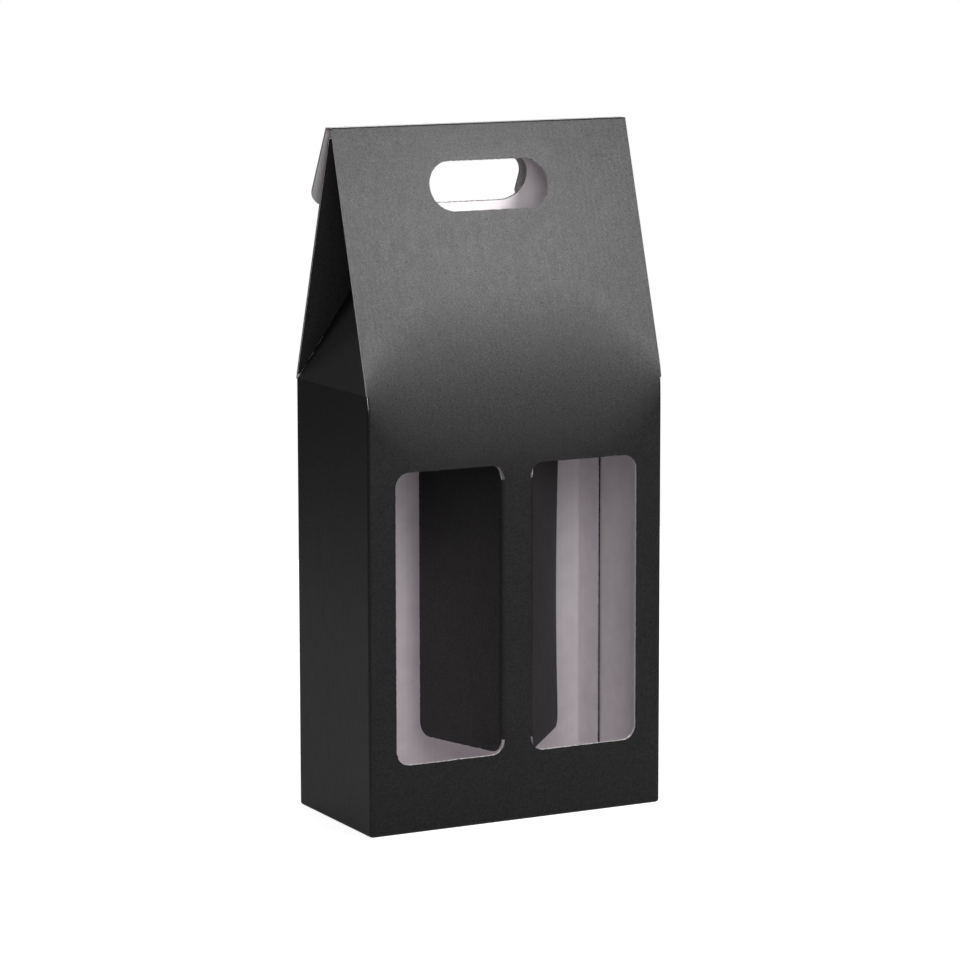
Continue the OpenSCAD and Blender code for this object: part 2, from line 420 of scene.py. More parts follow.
@dataclass(frozen=True)
class WindowFold(Fold):
    """Fold along the straight part of a window's edge, which runs out to nothing at both ends.

    Attributes:
        low: Lower end of the fold.
        top: Upper end of the fold.
        ease: Length over which each end runs out.
        margin: Reach beyond the fold's end that still belongs to the edge there.
        press: Share of the board's thickness that the pressed crease has at the fold's end.
    """

    EASE_PARTS: ClassVar[int] = 4
    MIDDLE_PARTS: ClassVar[int] = 18

    low: float = 0.0
    top: float = 0.0
    ease: float = 2.0
    margin: float = 0.5
    press: float = 1.0

    def pressed(self, depth: np.ndarray, reach: np.ndarray) -> np.ndarray:
        """Gives the depths of points in the fold, which gets thinner towards its end."""
        share = np.clip(reach / (self.radius * self.turn), 0.0, 1.0)
        return depth * (1.0 - (1.0 - self.press) * share ** 2)

    def stops(self) -> list[float]:
        """Divides the fold along its length.

        Returns:
            Places along the fold where its lines need a point.
        """
        ends = [self.ease * k / self.EASE_PARTS for k in range(self.EASE_PARTS + 1)]
        first, length = self.low + self.ease, self.top - self.low - 2 * self.ease
        middle = [first + length * k / self.MIDDLE_PARTS for k in range(1, self.MIDDLE_PARTS)]
        return [*(self.low + end for end in ends), *middle, *(self.top - end for end in reversed(ends))]

    def strength(self, reach: np.ndarray, beside: np.ndarray) -> np.ndarray:
        """Gives the share of the turn that each point takes.

        Args:
            reach: Reach beyond the fold's start.
            beside: Places along the fold.

        Returns:
            The share, which is nothing beyond the fold and eases in at its ends.
        """
        within = (reach > 0) & (reach <= self.radius * self.turn + self.margin)
        run_out = np.clip(np.minimum(beside - self.low, self.top - beside) / self.ease, 0.0, 1.0)
        return within * eased(run_out)


@dataclass
class Outline:
    """Outline of a panel in the flat sheet, with its holes.

    Attributes:
        outer: The outer edge.
        holes: The edge of each hole.
    """

    CORNER_PARTS: ClassVar[int] = 10
    NICK_DEPTHS: ClassVar[Point] = (0.25, 0.45)
    SAME_PLACE: ClassVar[float] = 1e-6
    MESH_EPSILON: ClassVar[float] = 1e-5

    outer: Loop
    holes: list[Loop] = field(default_factory=list)

    @staticmethod
    def arc(centre: Point, radius: float, start: float, turn: float, parts: int) -> Loop:
        """Points of an arc, both ends included."""
        angles = [start + turn * k / parts for k in range(parts + 1)]
        return [(centre[0] + radius * math.cos(a), centre[1] + radius * math.sin(a)) for a in angles]

    @classmethod
    def rounded(cls, low: Point, high: Point, radius: float, left: float | None = None,
                right: float | None = None) -> Loop:
        """Rectangle with four round corners.

        Args:
            low: Lower left corner.
            high: Upper right corner.
            radius: Radius of the corners.
            left: Place of the straight part of the left edge, if it differs from the corner's.
            right: Place of the straight part of the right edge, if it differs from the corner's.

        Returns:
            The outline, drawn to the left from its right edge's upper end.
        """
        centres = [
            (high[0] - radius, high[1] - radius), (low[0] + radius, high[1] - radius),
            (low[0] + radius, low[1] + radius), (high[0] - radius, low[1] + radius),
        ]
        ends = (high[1] - radius, low[1] + radius)
        straight = {1: (left, ends), 3: (right, ends[::-1])}
        loop: Loop = []
        for corner, centre in enumerate(centres):
            loop += cls.arc(centre, radius, corner * QUARTER, QUARTER, cls.CORNER_PARTS)
            edge, heights = straight.get(corner, (None, ()))
            if edge is not None:
                loop += [(edge, height) for height in heights]
        return loop

    @classmethod
    def frayed(cls, loop: Loop, seed: int, step: float = 1.6, rough: float = 0.05, nicks: int = 0,
               crease: float | None = None) -> Loop:
        """Roughens a cut edge a little and leaves torn nicks on it.

        Args:
            loop: The edge, closed.
            seed: Seed of the roughness.
            step: Longest straight part.
            rough: Size of the roughness.
            nicks: Number of torn nicks.
            crease: Place across the sheet of a creased side, which stays straight.

        Returns:
            The rough edge.
        """
        random = np.random.default_rng(seed)
        shallow, deep = cls.NICK_DEPTHS
        points: list[np.ndarray] = []
        a = np.array(loop)
        for start, end in zip(a, np.roll(a, -1, axis=0)):
            parts = max(1, math.ceil(float(np.linalg.norm(end - start)) / step))
            points += [start + (end - start) * k / parts for k in range(parts)]
        line = np.array(points)
        ahead = np.roll(line, -1, axis=0) - np.roll(line, 1, axis=0)
        aside = np.column_stack([ahead[:, 1], -ahead[:, 0]]) / np.linalg.norm(ahead, axis=1)[:, None]
        shift = random.normal(0.0, rough, len(line))
        for place in random.integers(0, len(line), nicks):
            shift[place] += random.uniform(-deep, -shallow)
        if crease is not None:
            shift[np.abs(line[:, 0] - crease) < cls.SAME_PLACE] = 0.0
        moved = line + aside * shift[:, None]
        return [(float(u), float(v)) for u, v in moved]

    @staticmethod
    def box(low: Point, high: Point) -> Loop:
        """Rectangle with sharp corners."""
        return [low, (high[0], low[1]), high, (low[0], high[1])]

    def contains(self, points: np.ndarray) -> np.ndarray:
        """Tells which points lie in the outline and in none of its holes.

        Args:
            points: Places across and along the sheet.

        Returns:
            True for each point that does.
        """
        inside = np.zeros(len(points), dtype=bool)
        for loop in [self.outer, *self.holes]:
            a = np.array(loop)
            b = np.roll(a, -1, axis=0)
            for (ax, ay), (bx, by) in zip(a, b):
                if ay == by:
                    continue
                crosses = (points[:, 1] < ay) != (points[:, 1] < by)
                reach = ax + (points[:, 1] - ay) / (by - ay) * (bx - ax)
                inside ^= crosses & (points[:, 0] < reach)
        return inside

    def mesh(self, across: Sequence[float], along: Sequence[float],
             folds: Sequence[Fold] = ()) -> tuple[np.ndarray, np.ndarray]:
        """Fills the outline with triangles that follow the given lines.

        Args:
            across: Places across the sheet where a line runs along it.
            along: Places along the sheet where a line runs across it.
            folds: Folds whose lines along the sheet are divided at their stops.

        Returns:
            The points and the triangles.
        """
        corners = np.array(self.outer)
        low, high = corners.min(axis=0), corners.max(axis=0)
        points: list[Vector] = []
        edges: list[tuple[int, int]] = []
        for loop in [self.outer, *self.holes]:
            first = len(points)
            points += [Vector(p) for p in loop]
            edges += [(first + k, first + (k + 1) % len(loop)) for k in range(len(loop))]
        for u in (u for u in across if low[0] < u < high[0]):
            crossed = [fold for fold in folds if min(fold.start, fold.end) <= u <= max(fold.start, fold.end)]
            heights = [low[1], *(stop for fold in crossed for stop in fold.stops()), high[1]]
            edges += [(len(points) + k, len(points) + k + 1) for k in range(len(heights) - 1)]
            points += [Vector((u, height)) for height in heights]
        for v in (v for v in along if low[1] < v < high[1]):
            edges.append((len(points), len(points) + 1))
            points += [Vector((low[0], v)), Vector((high[0], v))]
        whole_hull = 0
        found = delaunay_2d_cdt(points, edges, [], whole_hull, self.MESH_EPSILON, False)
        flat = np.array([tuple(p) for p in found[0]])
        triangles = np.array(found[2])
        keep = self.contains(flat[triangles].mean(axis=1))
        return flat, triangles[keep]


@dataclass(frozen=True)
class Place:
    """Where a panel's printed face lies, and its three directions."""

    origin: Triple
    across: Triple
    along: Triple
    inward: Triple

    def put(self, flat: np.ndarray) -> np.ndarray:
        """Takes points from across, along and inward to the carton's own axes."""
        return np.array(self.origin) + flat @ np.array([self.across, self.along, self.inward])

    @property
    def mirrored(self) -> bool:
        """True if the three directions turn a mesh inside out."""
        return float(np.linalg.det(np.array([self.across, self.along, self.inward]))) < 0


@dataclass
class Panel:
    """Flat panel with its folds and its place.

    Attributes:
        place: Where the panel lies.
        outline: Its outline in the flat sheet.
        across: Folds at its low and high ends across the sheet.
        along: Folds at its low and high ends along the sheet.
        lines_along: Further places along the sheet where it is divided.
        warp: Change of shape before it is folded.
        creased: True if its edges are torn creases, which are black, and not cut ones.
    """

    place: Place
    outline: Outline
    across: list[Fold] = field(default_factory=list)
    along: list[Fold] = field(default_factory=list)
    lines_along: list[float] = field(default_factory=list)
    warp: Warp | None = None
    creased: bool = False

    def fold(self, flat: np.ndarray) -> np.ndarray:
        """Folds points of the flat sheet into their place on the carton.

        Args:
            flat: Places across, along and inward.

        Returns:
            Places on the carton, in millimetres.
        """
        if self.warp:
            flat = self.warp(flat)
        u, v, w = flat.T.copy()
        for fold in self.across:
            fold.bend(u, w, v)
        for fold in self.along:
            fold.bend(v, w, u)
        return self.place.put(np.column_stack([u, v, w]))


def add_object(name: str, data: bpy.types.ID) -> bpy.types.Object:
    """Puts a mesh, light or camera into the scene.

    Args:
        name: Name of its object.
        data: The mesh, light or camera.

    Returns:
        The object.
    """
    made = bpy.data.objects.new(name, data)
    bpy.context.scene.collection.objects.link(made)
    return made


def feed(tree: bpy.types.NodeTree, node: bpy.types.Node, inputs: Inputs) -> None:
    """Sets or links the inputs of a node.

    Args:
        tree: Tree that the node is in.
        node: The node.
        inputs: Values or output sockets by input name or number.
    """
    for key, value in inputs.items():
        if isinstance(value, bpy.types.NodeSocket):
            tree.links.new(value, node.inputs[key])
        else:
            node.inputs[key].default_value = value


def add(tree: bpy.types.NodeTree, kind: str, inputs: Inputs | None = None,
        **settings: object) -> bpy.types.Node:
    """Adds a node and feeds its inputs.

    Args:
        tree: Tree that the node goes into.
        kind: The node's type.
        inputs: Values or output sockets by input name or number.
        **settings: Properties of the node.

    Returns:
        The node.
    """
    node = tree.nodes.new(kind)
    for name, value in settings.items():
        setattr(node, name, value)
    feed(tree, node, inputs or {})
    return node


def maths(tree: bpy.types.NodeTree, operation: str, first: object,
          second: object = 0.0) -> bpy.types.NodeSocket:
    """Adds a maths node and gives its output."""
    return add(tree, "ShaderNodeMath", {0: first, 1: second}, operation=operation).outputs[0]


def scaled(tree: bpy.types.NodeTree, value: object, factor: float,
           offset: object) -> bpy.types.NodeSocket:
    """Gives a value times a factor, plus an offset."""
    return maths(tree, "ADD", maths(tree, "MULTIPLY", value, factor), offset)


def varied(tree: bpy.types.NodeTree, chance: bpy.types.NodeSocket, spread: float,
           middle: float) -> bpy.types.NodeSocket:
    """Gives a value that varies about its middle as a noise does about a half."""
    return scaled(tree, maths(tree, "SUBTRACT", chance, 0.5), spread, middle)


def noise(tree: bpy.types.NodeTree, where: bpy.types.NodeSocket, scale: float, detail: float = 3.0,
          stretch: Triple = (1.0, 1.0, 1.0)) -> bpy.types.NodeSocket:
    """Adds a noise texture, stretched by a mapping.

    Args:
        tree: Tree that the nodes go into.
        where: Places of the points.
        scale: Scale of the noise.
        detail: Number of finer layers in it.
        stretch: Scale of the places along each axis.

    Returns:
        The noise's factor.
    """
    mapping = add(tree, "ShaderNodeMapping", {"Vector": where, "Scale": stretch})
    texture = {"Vector": mapping.outputs[0], "Scale": scale, "Detail": detail}
    return add(tree, "ShaderNodeTexNoise", texture).outputs["Fac"]


def bump(tree: bpy.types.NodeTree, height: bpy.types.NodeSocket, distance: float,
         strength: float) -> bpy.types.NodeSocket:
    """Adds a bump of a depth in metres and gives its normal."""
    relief = {"Height": height, "Strength": strength, "Distance": distance}
    return add(tree, "ShaderNodeBump", relief).outputs[0]


@dataclass(frozen=True)
class Finish:
    """Base of every finish, which is mottled between two colours.

    Attributes:
        name: The material's name.
        dark: Darkest colour.
        light: Lightest colour.
        low: Mottle at which the colour is darkest.
        high: Mottle at which it is lightest.
    """

    name: str
    dark: Colour
    light: Colour
    low: float
    high: float

    def material(self) -> bpy.types.Material:
        """Makes the material.

        Returns:
            The material, with this finish's surface.
        """
        material = bpy.data.materials.new(self.name)
        material.use_nodes = True
        tree = material.node_tree
        where = add(tree, "ShaderNodeTexCoord").outputs["Object"]
        feed(tree, tree.nodes["Principled BSDF"], self.surface(tree, where))
        return material

    def colour(self, tree: bpy.types.NodeTree, mottle: bpy.types.NodeSocket) -> bpy.types.NodeSocket:
        """Adds the ramp between both colours.

        Args:
            tree: The material's tree.
            mottle: The mottle.

        Returns:
            The colour.
        """
        node = add(tree, "ShaderNodeValToRGB", {0: mottle})
        stops = ((self.low, self.dark), (self.high, self.light))
        for element, (place, colour) in zip(node.color_ramp.elements, stops):
            element.position = place
            element.color = (*colour, 1.0)
        return node.outputs[0]

    def surface(self, tree: bpy.types.NodeTree, where: bpy.types.NodeSocket) -> Inputs:
        """Adds the finish's own nodes and gives the inputs of its surface shader."""
        raise NotImplementedError


@dataclass(frozen=True)
class PrintedLiner(Finish):
    """Black printed liner with a satin lacquer over paper grain.

    Attributes:
        roughness: Middle roughness, and its spread.
        specular: Middle strength of the gloss, and its spread.
        cloud: Noise scale of the ink's clouds.
        grain: Noise scale of the paper's grain.
        fibre: Noise scale of the fibres, which are drawn out along Z.
        fibre_relief: Height of the fibres over the grain's.
        speck: Noise scale of the gloss.
        relief: Depth of the grain, in metres.
    """

    dark: Colour = (0.0014, 0.0013, 0.0014)
    light: Colour = (0.0024, 0.0022, 0.0023)
    low: float = 0.3
    high: float = 0.7
    roughness: Point = (0.46, 0.08)
    specular: Point = (0.30, 0.45)
    cloud: float = 26.0
    grain: float = 800.0
    fibre: float = 260.0
    fibre_stretch: Triple = (1.0, 1.0, 0.4)
    fibre_relief: float = 0.35
    speck: float = 1500.0
    relief: float = 0.00006

    def surface(self, tree: bpy.types.NodeTree, where: bpy.types.NodeSocket) -> Inputs:
        """Adds the finish's nodes.

        Args:
            tree: The material's tree.
            where: Places of the points.

        Returns:
            Values or sockets by the shader's inputs.
        """
        cloud = noise(tree, where, self.cloud, detail=5.0)
        grain = noise(tree, where, self.grain)
        fibre = noise(tree, where, self.fibre, stretch=self.fibre_stretch)
        speck = noise(tree, where, self.speck, detail=2.0)
        (rough, rough_spread), (gloss, gloss_spread) = self.roughness, self.specular
        height = scaled(tree, fibre, self.fibre_relief, grain)
        return {
            "Base Color": self.colour(tree, cloud),
            "Roughness": varied(tree, fibre, rough_spread, rough),
            "Specular IOR Level": varied(tree, speck, gloss_spread, gloss),
            "Normal": bump(tree, height, self.relief, strength=1.0),
        }


@dataclass(frozen=True)
class PlainLiner(Finish):
    """Light grey uncoated liner with painted shade: faint stripes at the flute pitch in its colour, darkest
    where it sags between the flutes.

    Attributes:
        pitch: Length of one flute.
        painted_flute_shade: Strength of the painted shade, faint stripes at the flute pitch.
        mottle: Noise scale of the mottle.
        speck: Noise scale of the specks.
        speck_share: Strength of the specks in the colour.
        shift: Amount that brings the mottle back to its middle.
        roughness: Least roughness, and its range.
        relief: Depth of the specks, in metres.
    """

    dark: Colour = (0.720, 0.677, 0.705)
    light: Colour = (0.810, 0.762, 0.790)
    low: float = 0.25
    high: float = 0.75
    pitch: float = 3.4
    painted_flute_shade: float = 0.04
    mottle: float = 110.0
    speck: float = 900.0
    speck_share: float = 0.45
    shift: float = 0.15
    roughness: Point = (0.8, 0.1)
    relief: float = 0.00006

    def surface(self, tree: bpy.types.NodeTree, where: bpy.types.NodeSocket) -> Inputs:
        """Adds the finish's nodes.

        Args:
            tree: The material's tree.
            where: Places of the points.

        Returns:
            Values or sockets by the shader's inputs.
        """
        sheet = add(tree, "ShaderNodeUVMap", uv_map=SHEET_MAP).outputs[0]
        across = add(tree, "ShaderNodeSeparateXYZ", {0: sheet}).outputs[0]
        # Painted shade: a sine at the flute pitch makes faint stripes in the colour, darkest where the liner
        # sags between the flutes.
        turns = maths(tree, "MULTIPLY", across, math.tau * SHEET_UNIT / self.pitch)
        painted_flute_shade = maths(tree, "MULTIPLY", maths(tree, "SINE", turns), self.painted_flute_shade)
        mottle = noise(tree, where, self.mottle, detail=6.0)
        speck = noise(tree, where, self.speck)
        tone = scaled(tree, speck, self.speck_share, maths(tree, "ADD", mottle, painted_flute_shade))
        least, spread = self.roughness
        return {
            "Base Color": self.colour(tree, maths(tree, "SUBTRACT", tone, self.shift)),
            "Roughness": scaled(tree, mottle, spread, least),
            "Specular IOR Level": 0.2,
            "Normal": bump(tree, speck, self.relief, strength=0.4),
        }


@dataclass(frozen=True)
class CutPaper(Finish):
    """Fibrous paper at a die-cut edge and in the fluting.

    Attributes:
        tuft: Noise scale of the tufts.
        roughness: Least roughness, and its range.
        relief: Depth of the tufts, in metres.
    """

    dark: Colour = (0.30, 0.285, 0.27)
    light: Colour = (0.62, 0.60, 0.58)
    low: float = 0.3
    high: float = 0.65
    tuft: float = 700.0
    roughness: Point = (0.85, 0.1)
    relief: float = 0.0001

    def surface(self, tree: bpy.types.NodeTree, where: bpy.types.NodeSocket) -> Inputs:
        """Adds the finish's nodes.

        Args:
            tree: The material's tree.
            where: Places of the points.

        Returns:
            Values or sockets by the shader's inputs.
        """
        tuft = noise(tree, where, self.tuft, detail=5.0)
        least, spread = self.roughness
        return {
            "Base Color": self.colour(tree, tuft),
            "Roughness": scaled(tree, tuft, spread, least),
            "Specular IOR Level": 0.15,
            "Normal": bump(tree, tuft, self.relief, strength=0.6),
        }


@dataclass(frozen=True)
class HotMelt(Finish):
    """Cloudy off-white hot-melt glue.

    Attributes:
        cloud: Noise scale of the clouds.
        roughness: Least roughness, and its range.
        relief: Depth of the clouds, in metres.
    """

    dark: Colour = (0.50, 0.47, 0.40)
    light: Colour = (0.66, 0.63, 0.56)
    low: float = 0.35
    high: float = 0.65
    cloud: float = 400.0
    roughness: Point = (0.18, 0.2)
    relief: float = 0.0002

    def surface(self, tree: bpy.types.NodeTree, where: bpy.types.NodeSocket) -> Inputs:
        """Adds the finish's nodes.

        Args:
            tree: The material's tree.
            where: Places of the points.

        Returns:
            Values or sockets by the shader's inputs.
        """
        cloud = noise(tree, where, self.cloud, detail=4.0)
        least, spread = self.roughness
        return {
            "Base Color": self.colour(tree, cloud),
            "Roughness": scaled(tree, cloud, spread, least),
            "Normal": bump(tree, cloud, self.relief, strength=0.3),
        }


@dataclass
class Finishes:
    """Every finish on the carton, made once."""

    printed: bpy.types.Material
    plain: bpy.types.Material
    cut: bpy.types.Material
    fluting: bpy.types.Material
    glue: bpy.types.Material

    @classmethod
    def make(cls, board: Board) -> "Finishes":
        """Makes the materials."""
        shade = CutPaper("fluting_paper", dark=(0.22, 0.20, 0.18), light=(0.40, 0.38, 0.35))
        return cls(
            printed=PrintedLiner("black_printed_liner").material(),
            plain=PlainLiner("plain_grey_liner", pitch=board.pitch).material(),
            cut=CutPaper("cut_paper_edge").material(),
            fluting=shade.material(),
            glue=HotMelt("hot_melt_glue").material(),
        )


class NodeTool:
    """Geometry node tree with named inputs, used through a modifier."""

    def __init__(self, name: str, sockets: Sequence[tuple[str, str, object]]) -> None:
        """Starts the tree.

        Args:
            name: The tree's name.
            sockets: Name, socket type and first value of each input.
        """
        self.tree = bpy.data.node_groups.new(name, "GeometryNodeTree")
        self.tree.is_modifier = True
        face = self.tree.interface
        face.new_socket("Geometry", in_out="INPUT", socket_type="NodeSocketGeometry")
        face.new_socket("Geometry", in_out="OUTPUT", socket_type="NodeSocketGeometry")
        self.keys: dict[str, str] = {}
        for label, kind, value in sockets:
            socket = face.new_socket(label, in_out="INPUT", socket_type=kind)
            if value is not None:
                socket.default_value = value
            self.keys[label] = socket.identifier
        self.source = self.tree.nodes.new("NodeGroupInput")
        self.result = self.tree.nodes.new("NodeGroupOutput")

    def add(self, kind: str, inputs: Inputs | None = None, **settings: object) -> bpy.types.Node:
        """Adds a node to this tree."""
        return add(self.tree, kind, inputs, **settings)

    def value(self, label: str) -> bpy.types.NodeSocket:
        """Gives one of the tree's inputs."""
        return self.source.outputs[label]

    def run(self, mesh: bpy.types.Mesh, values: dict[str, object]) -> bpy.types.Mesh:
        """Runs the tree on a mesh and gives the result as a plain mesh.

        Args:
            mesh: The mesh that goes in. It is removed afterwards.
            values: The inputs that differ from their first values.

        Returns:
            The new mesh.
        """
        helper = add_object("helper", mesh)
        modifier = helper.modifiers.new("tool", "NODES")
        modifier.node_group = self.tree
        for label, value in values.items():
            modifier[self.keys[label]] = value
        graph = bpy.context.evaluated_depsgraph_get()
        made = bpy.data.meshes.new_from_object(helper.evaluated_get(graph), depsgraph=graph)
        bpy.data.objects.remove(helper)
        bpy.data.meshes.remove(mesh)
        return made


class BoardTool(NodeTool):
    """Turns a flat sheet into two liners with a fluted paper between them."""

    MERGE_DISTANCE: ClassVar[float] = 1e-6

    def __init__(self, board: Board, finishes: Finishes) -> None:
        """Builds the tree.

        Args:
            board: Layers of the board.
            finishes: Materials of the layers.
        """
        super().__init__("corrugated_board", [
            ("Pitch", "NodeSocketFloat", board.pitch * MM),
            ("Wave", "NodeSocketFloat", board.wave * MM),
            ("Liner", "NodeSocketFloat", board.liner * MM),
            ("Paper", "NodeSocketFloat", board.paper * MM),
            ("Thickness", "NodeSocketFloat", board.thickness * MM),
            ("Sag", "NodeSocketFloat", board.sag * MM),
            ("Printed face", "NodeSocketMaterial", finishes.printed),
            ("Plain face", "NodeSocketMaterial", finishes.plain),
            ("Fluting", "NodeSocketMaterial", finishes.fluting),
            ("Cut edge", "NodeSocketMaterial", finishes.cut),
        ])
        tree = self.tree
        place = self.add("GeometryNodeInputPosition").outputs[0]
        across = self.add("ShaderNodeSeparateXYZ", {0: place}).outputs[0]
        turns = maths(tree, "MULTIPLY", maths(tree, "DIVIDE", across, self.value("Pitch")), math.tau)
        sine = maths(tree, "SINE", turns)
        up = maths(tree, "MULTIPLY", maths(tree, "ADD", sine, 1.0), 0.5)
        down = maths(tree, "SUBTRACT", 1.0, up)
        printed_dip = maths(tree, "MULTIPLY", up, self.value("Sag"))
        plain_rise = maths(tree, "MULTIPLY", down, maths(tree, "MULTIPLY", self.value("Sag"), -1.0))
        plain_base = maths(tree, "SUBTRACT", self.value("Thickness"), self.value("Liner"))
        wave = maths(tree, "MULTIPLY", up, self.value("Wave"))
        layers = [
            self.layer(printed_dip, "Liner", "Printed face"),
            self.layer(maths(tree, "ADD", wave, self.value("Liner")), "Paper", "Fluting"),
            self.layer(maths(tree, "ADD", plain_base, plain_rise), "Liner", "Plain face"),
        ]
        joined = self.add("GeometryNodeJoinGeometry")
        for layer in layers:
            tree.links.new(layer, joined.inputs[0])
        whole = self.add("GeometryNodeRealizeInstances", {0: joined.outputs[0]})
        cut = self.add("GeometryNodeInputNamedAttribute", {"Name": CUT_EDGE}, data_type="BOOLEAN")
        edged = self.add("GeometryNodeSetMaterial", {
            "Geometry": whole.outputs[0], "Selection": cut.outputs[0], "Material": self.value("Cut edge"),
        })
        tree.links.new(edged.outputs[0], self.result.inputs[0])

    def layer(self, base: bpy.types.NodeSocket, thickness: str, finish: str) -> bpy.types.NodeSocket:
        """Adds the nodes of one closed layer.

        Args:
            base: Depth of the layer's upper side.
            thickness: Name of the input that holds the layer's thickness.
            finish: Name of the input that holds its material.

        Returns:
            The layer's geometry.
        """
        lift = self.add("ShaderNodeCombineXYZ", {"Z": base}).outputs[0]
        sheet = self.add("GeometryNodeSetPosition", {
            "Geometry": self.value("Geometry"), "Offset": lift,
        }).outputs[0]
        thick = self.add("GeometryNodeExtrudeMesh", {
            "Mesh": sheet, "Offset": INWARD, "Offset Scale": self.value(thickness), "Individual": False,
        })
        marked = self.add("GeometryNodeStoreNamedAttribute", {
            "Geometry": thick.outputs["Mesh"], "Name": CUT_EDGE, "Value": thick.outputs["Side"],
        }, data_type="BOOLEAN", domain="FACE").outputs[0]
        under = self.add("GeometryNodeFlipFaces", {0: sheet}).outputs[0]
        both = self.add("GeometryNodeJoinGeometry")
        self.tree.links.new(marked, both.inputs[0])
        self.tree.links.new(under, both.inputs[0])
        closed = self.add("GeometryNodeMergeByDistance", {
            "Geometry": both.outputs[0], "Distance": self.MERGE_DISTANCE,
        })
        return self.add("GeometryNodeSetMaterial", {
            "Geometry": closed.outputs[0], "Material": self.value(finish),
        }).outputs[0]


@dataclass
class Workshop:
    """Builds panels into pieces and ties each piece to the frame."""

    SHARP_ANGLE: ClassVar[float] = math.radians(48.0)

    carton: Carton
    finishes: Finishes
    tool: BoardTool

    def flute_lines(self, low: float, high: float) -> list[float]:
        """Divides a sheet's flutes evenly.

        Args:
            low: Lowest place across the sheet.
            high: Highest place across it.

        Returns:
            The places of the lines.
        """
        step = self.carton.board.pitch / self.carton.board.steps
        first = math.ceil(low / step - 0.5)
        return [(first + 0.5 + k) * step for k in range(int((high - low) / step) + 1)]

    def sheet(self, panel: Panel) -> bpy.types.Mesh:
        """Makes one panel's flat sheet.

        Args:
            panel: The panel.

        Returns:
            Its mesh, in metres, with lines where the board is fluted or bends.
        """
        places = np.array(panel.outline.outer)
        across = self.flute_lines(places[:, 0].min(), places[:, 0].max())
        across += [line for fold in panel.across for line in fold.lines()]
        along = panel.lines_along + [line for fold in panel.along for line in fold.lines()]
        flat, triangles = panel.outline.mesh(across, along, panel.across)
        points = np.column_stack([flat, np.zeros(len(flat))]) * MM
        mesh = bpy.data.meshes.new("sheet")
        mesh.from_pydata(points.tolist(), [], triangles.tolist())
        return mesh

    def board(self, panel: Panel) -> bpy.types.Mesh:
        """Makes one panel's layers and folds them into place.

        Args:
            panel: The panel.

        Returns:
            Its mesh, in metres.
        """
        edge = {"Cut edge": self.finishes.printed} if panel.creased else {}
        made = self.tool.run(self.sheet(panel), edge)
        place = np.empty(len(made.vertices) * 3)
        made.vertices.foreach_get("co", place)
        flat = place.reshape(-1, 3) / MM
        corner = np.empty(len(made.loops), dtype=np.int32)
        made.loops.foreach_get("vertex_index", corner)
        layer = made.uv_layers.new(name=SHEET_MAP)
        layer.data.foreach_set("uv", (flat[corner, :2] / SHEET_UNIT).ravel())
        made.vertices.foreach_set("co", (panel.fold(flat) * MM).ravel())
        if panel.place.mirrored:
            made.flip_normals()
        return made

    def piece(self, node: str, body: str, *panels: Panel, slot: str = "black_board",
              crease: tuple[Vector, Vector] | None = None) -> bpy.types.Object:
        """Builds a piece of board from its panels and puts it in its CAD node's stead.

        Args:
            node: Name of the CAD node, which the piece stands for.
            body: Body that the piece rides on.
            *panels: The panels, in their places.
            slot: Material slot in the record.
            crease: Points of the crease between the box and the body, if there is one; a piece with one is
                left in place and not tied to its body.

        Returns:
            The piece.
        """
        objects = [add_object(f"{node}_board", mesh) for mesh in [self.board(panel) for panel in panels]]
        piece = objects[0]
        if len(objects) > 1:
            with bpy.context.temp_override(active_object=piece, selected_editable_objects=objects,
                                           selected_objects=objects, object=piece):
                bpy.ops.object.join()
        return self.tie(piece, node, body, slot, crease)

    def tie(self, piece: bpy.types.Object, node: str, body: str, slot: str,
            crease: tuple[Vector, Vector] | None = None) -> bpy.types.Object:
        """Smooths a piece, with its edges sharp, hides its CAD node and ties the piece to its body, unless a
        crease is given.

        Args:
            piece: The piece.
            node: Name of the CAD node, which the piece stands for.
            body: Body that the piece rides on.
            slot: Material slot in the record. Not used.
            crease: Points of the crease between the box and the body, if there is one; a piece with one is
                left in place and not tied to its body.

        Returns:
            The piece.
        """
        piece.data.name = piece.name
        piece.data.shade_smooth()
        piece.data.set_sharp_from_angle(angle=self.SHARP_ANGLE)
        if crease is None:
            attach(piece, body)
        else:
            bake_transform(piece)
        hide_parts(node)
        log.info("%s on %s: %d faces", piece.name, body, len(piece.data.polygons))
        return piece


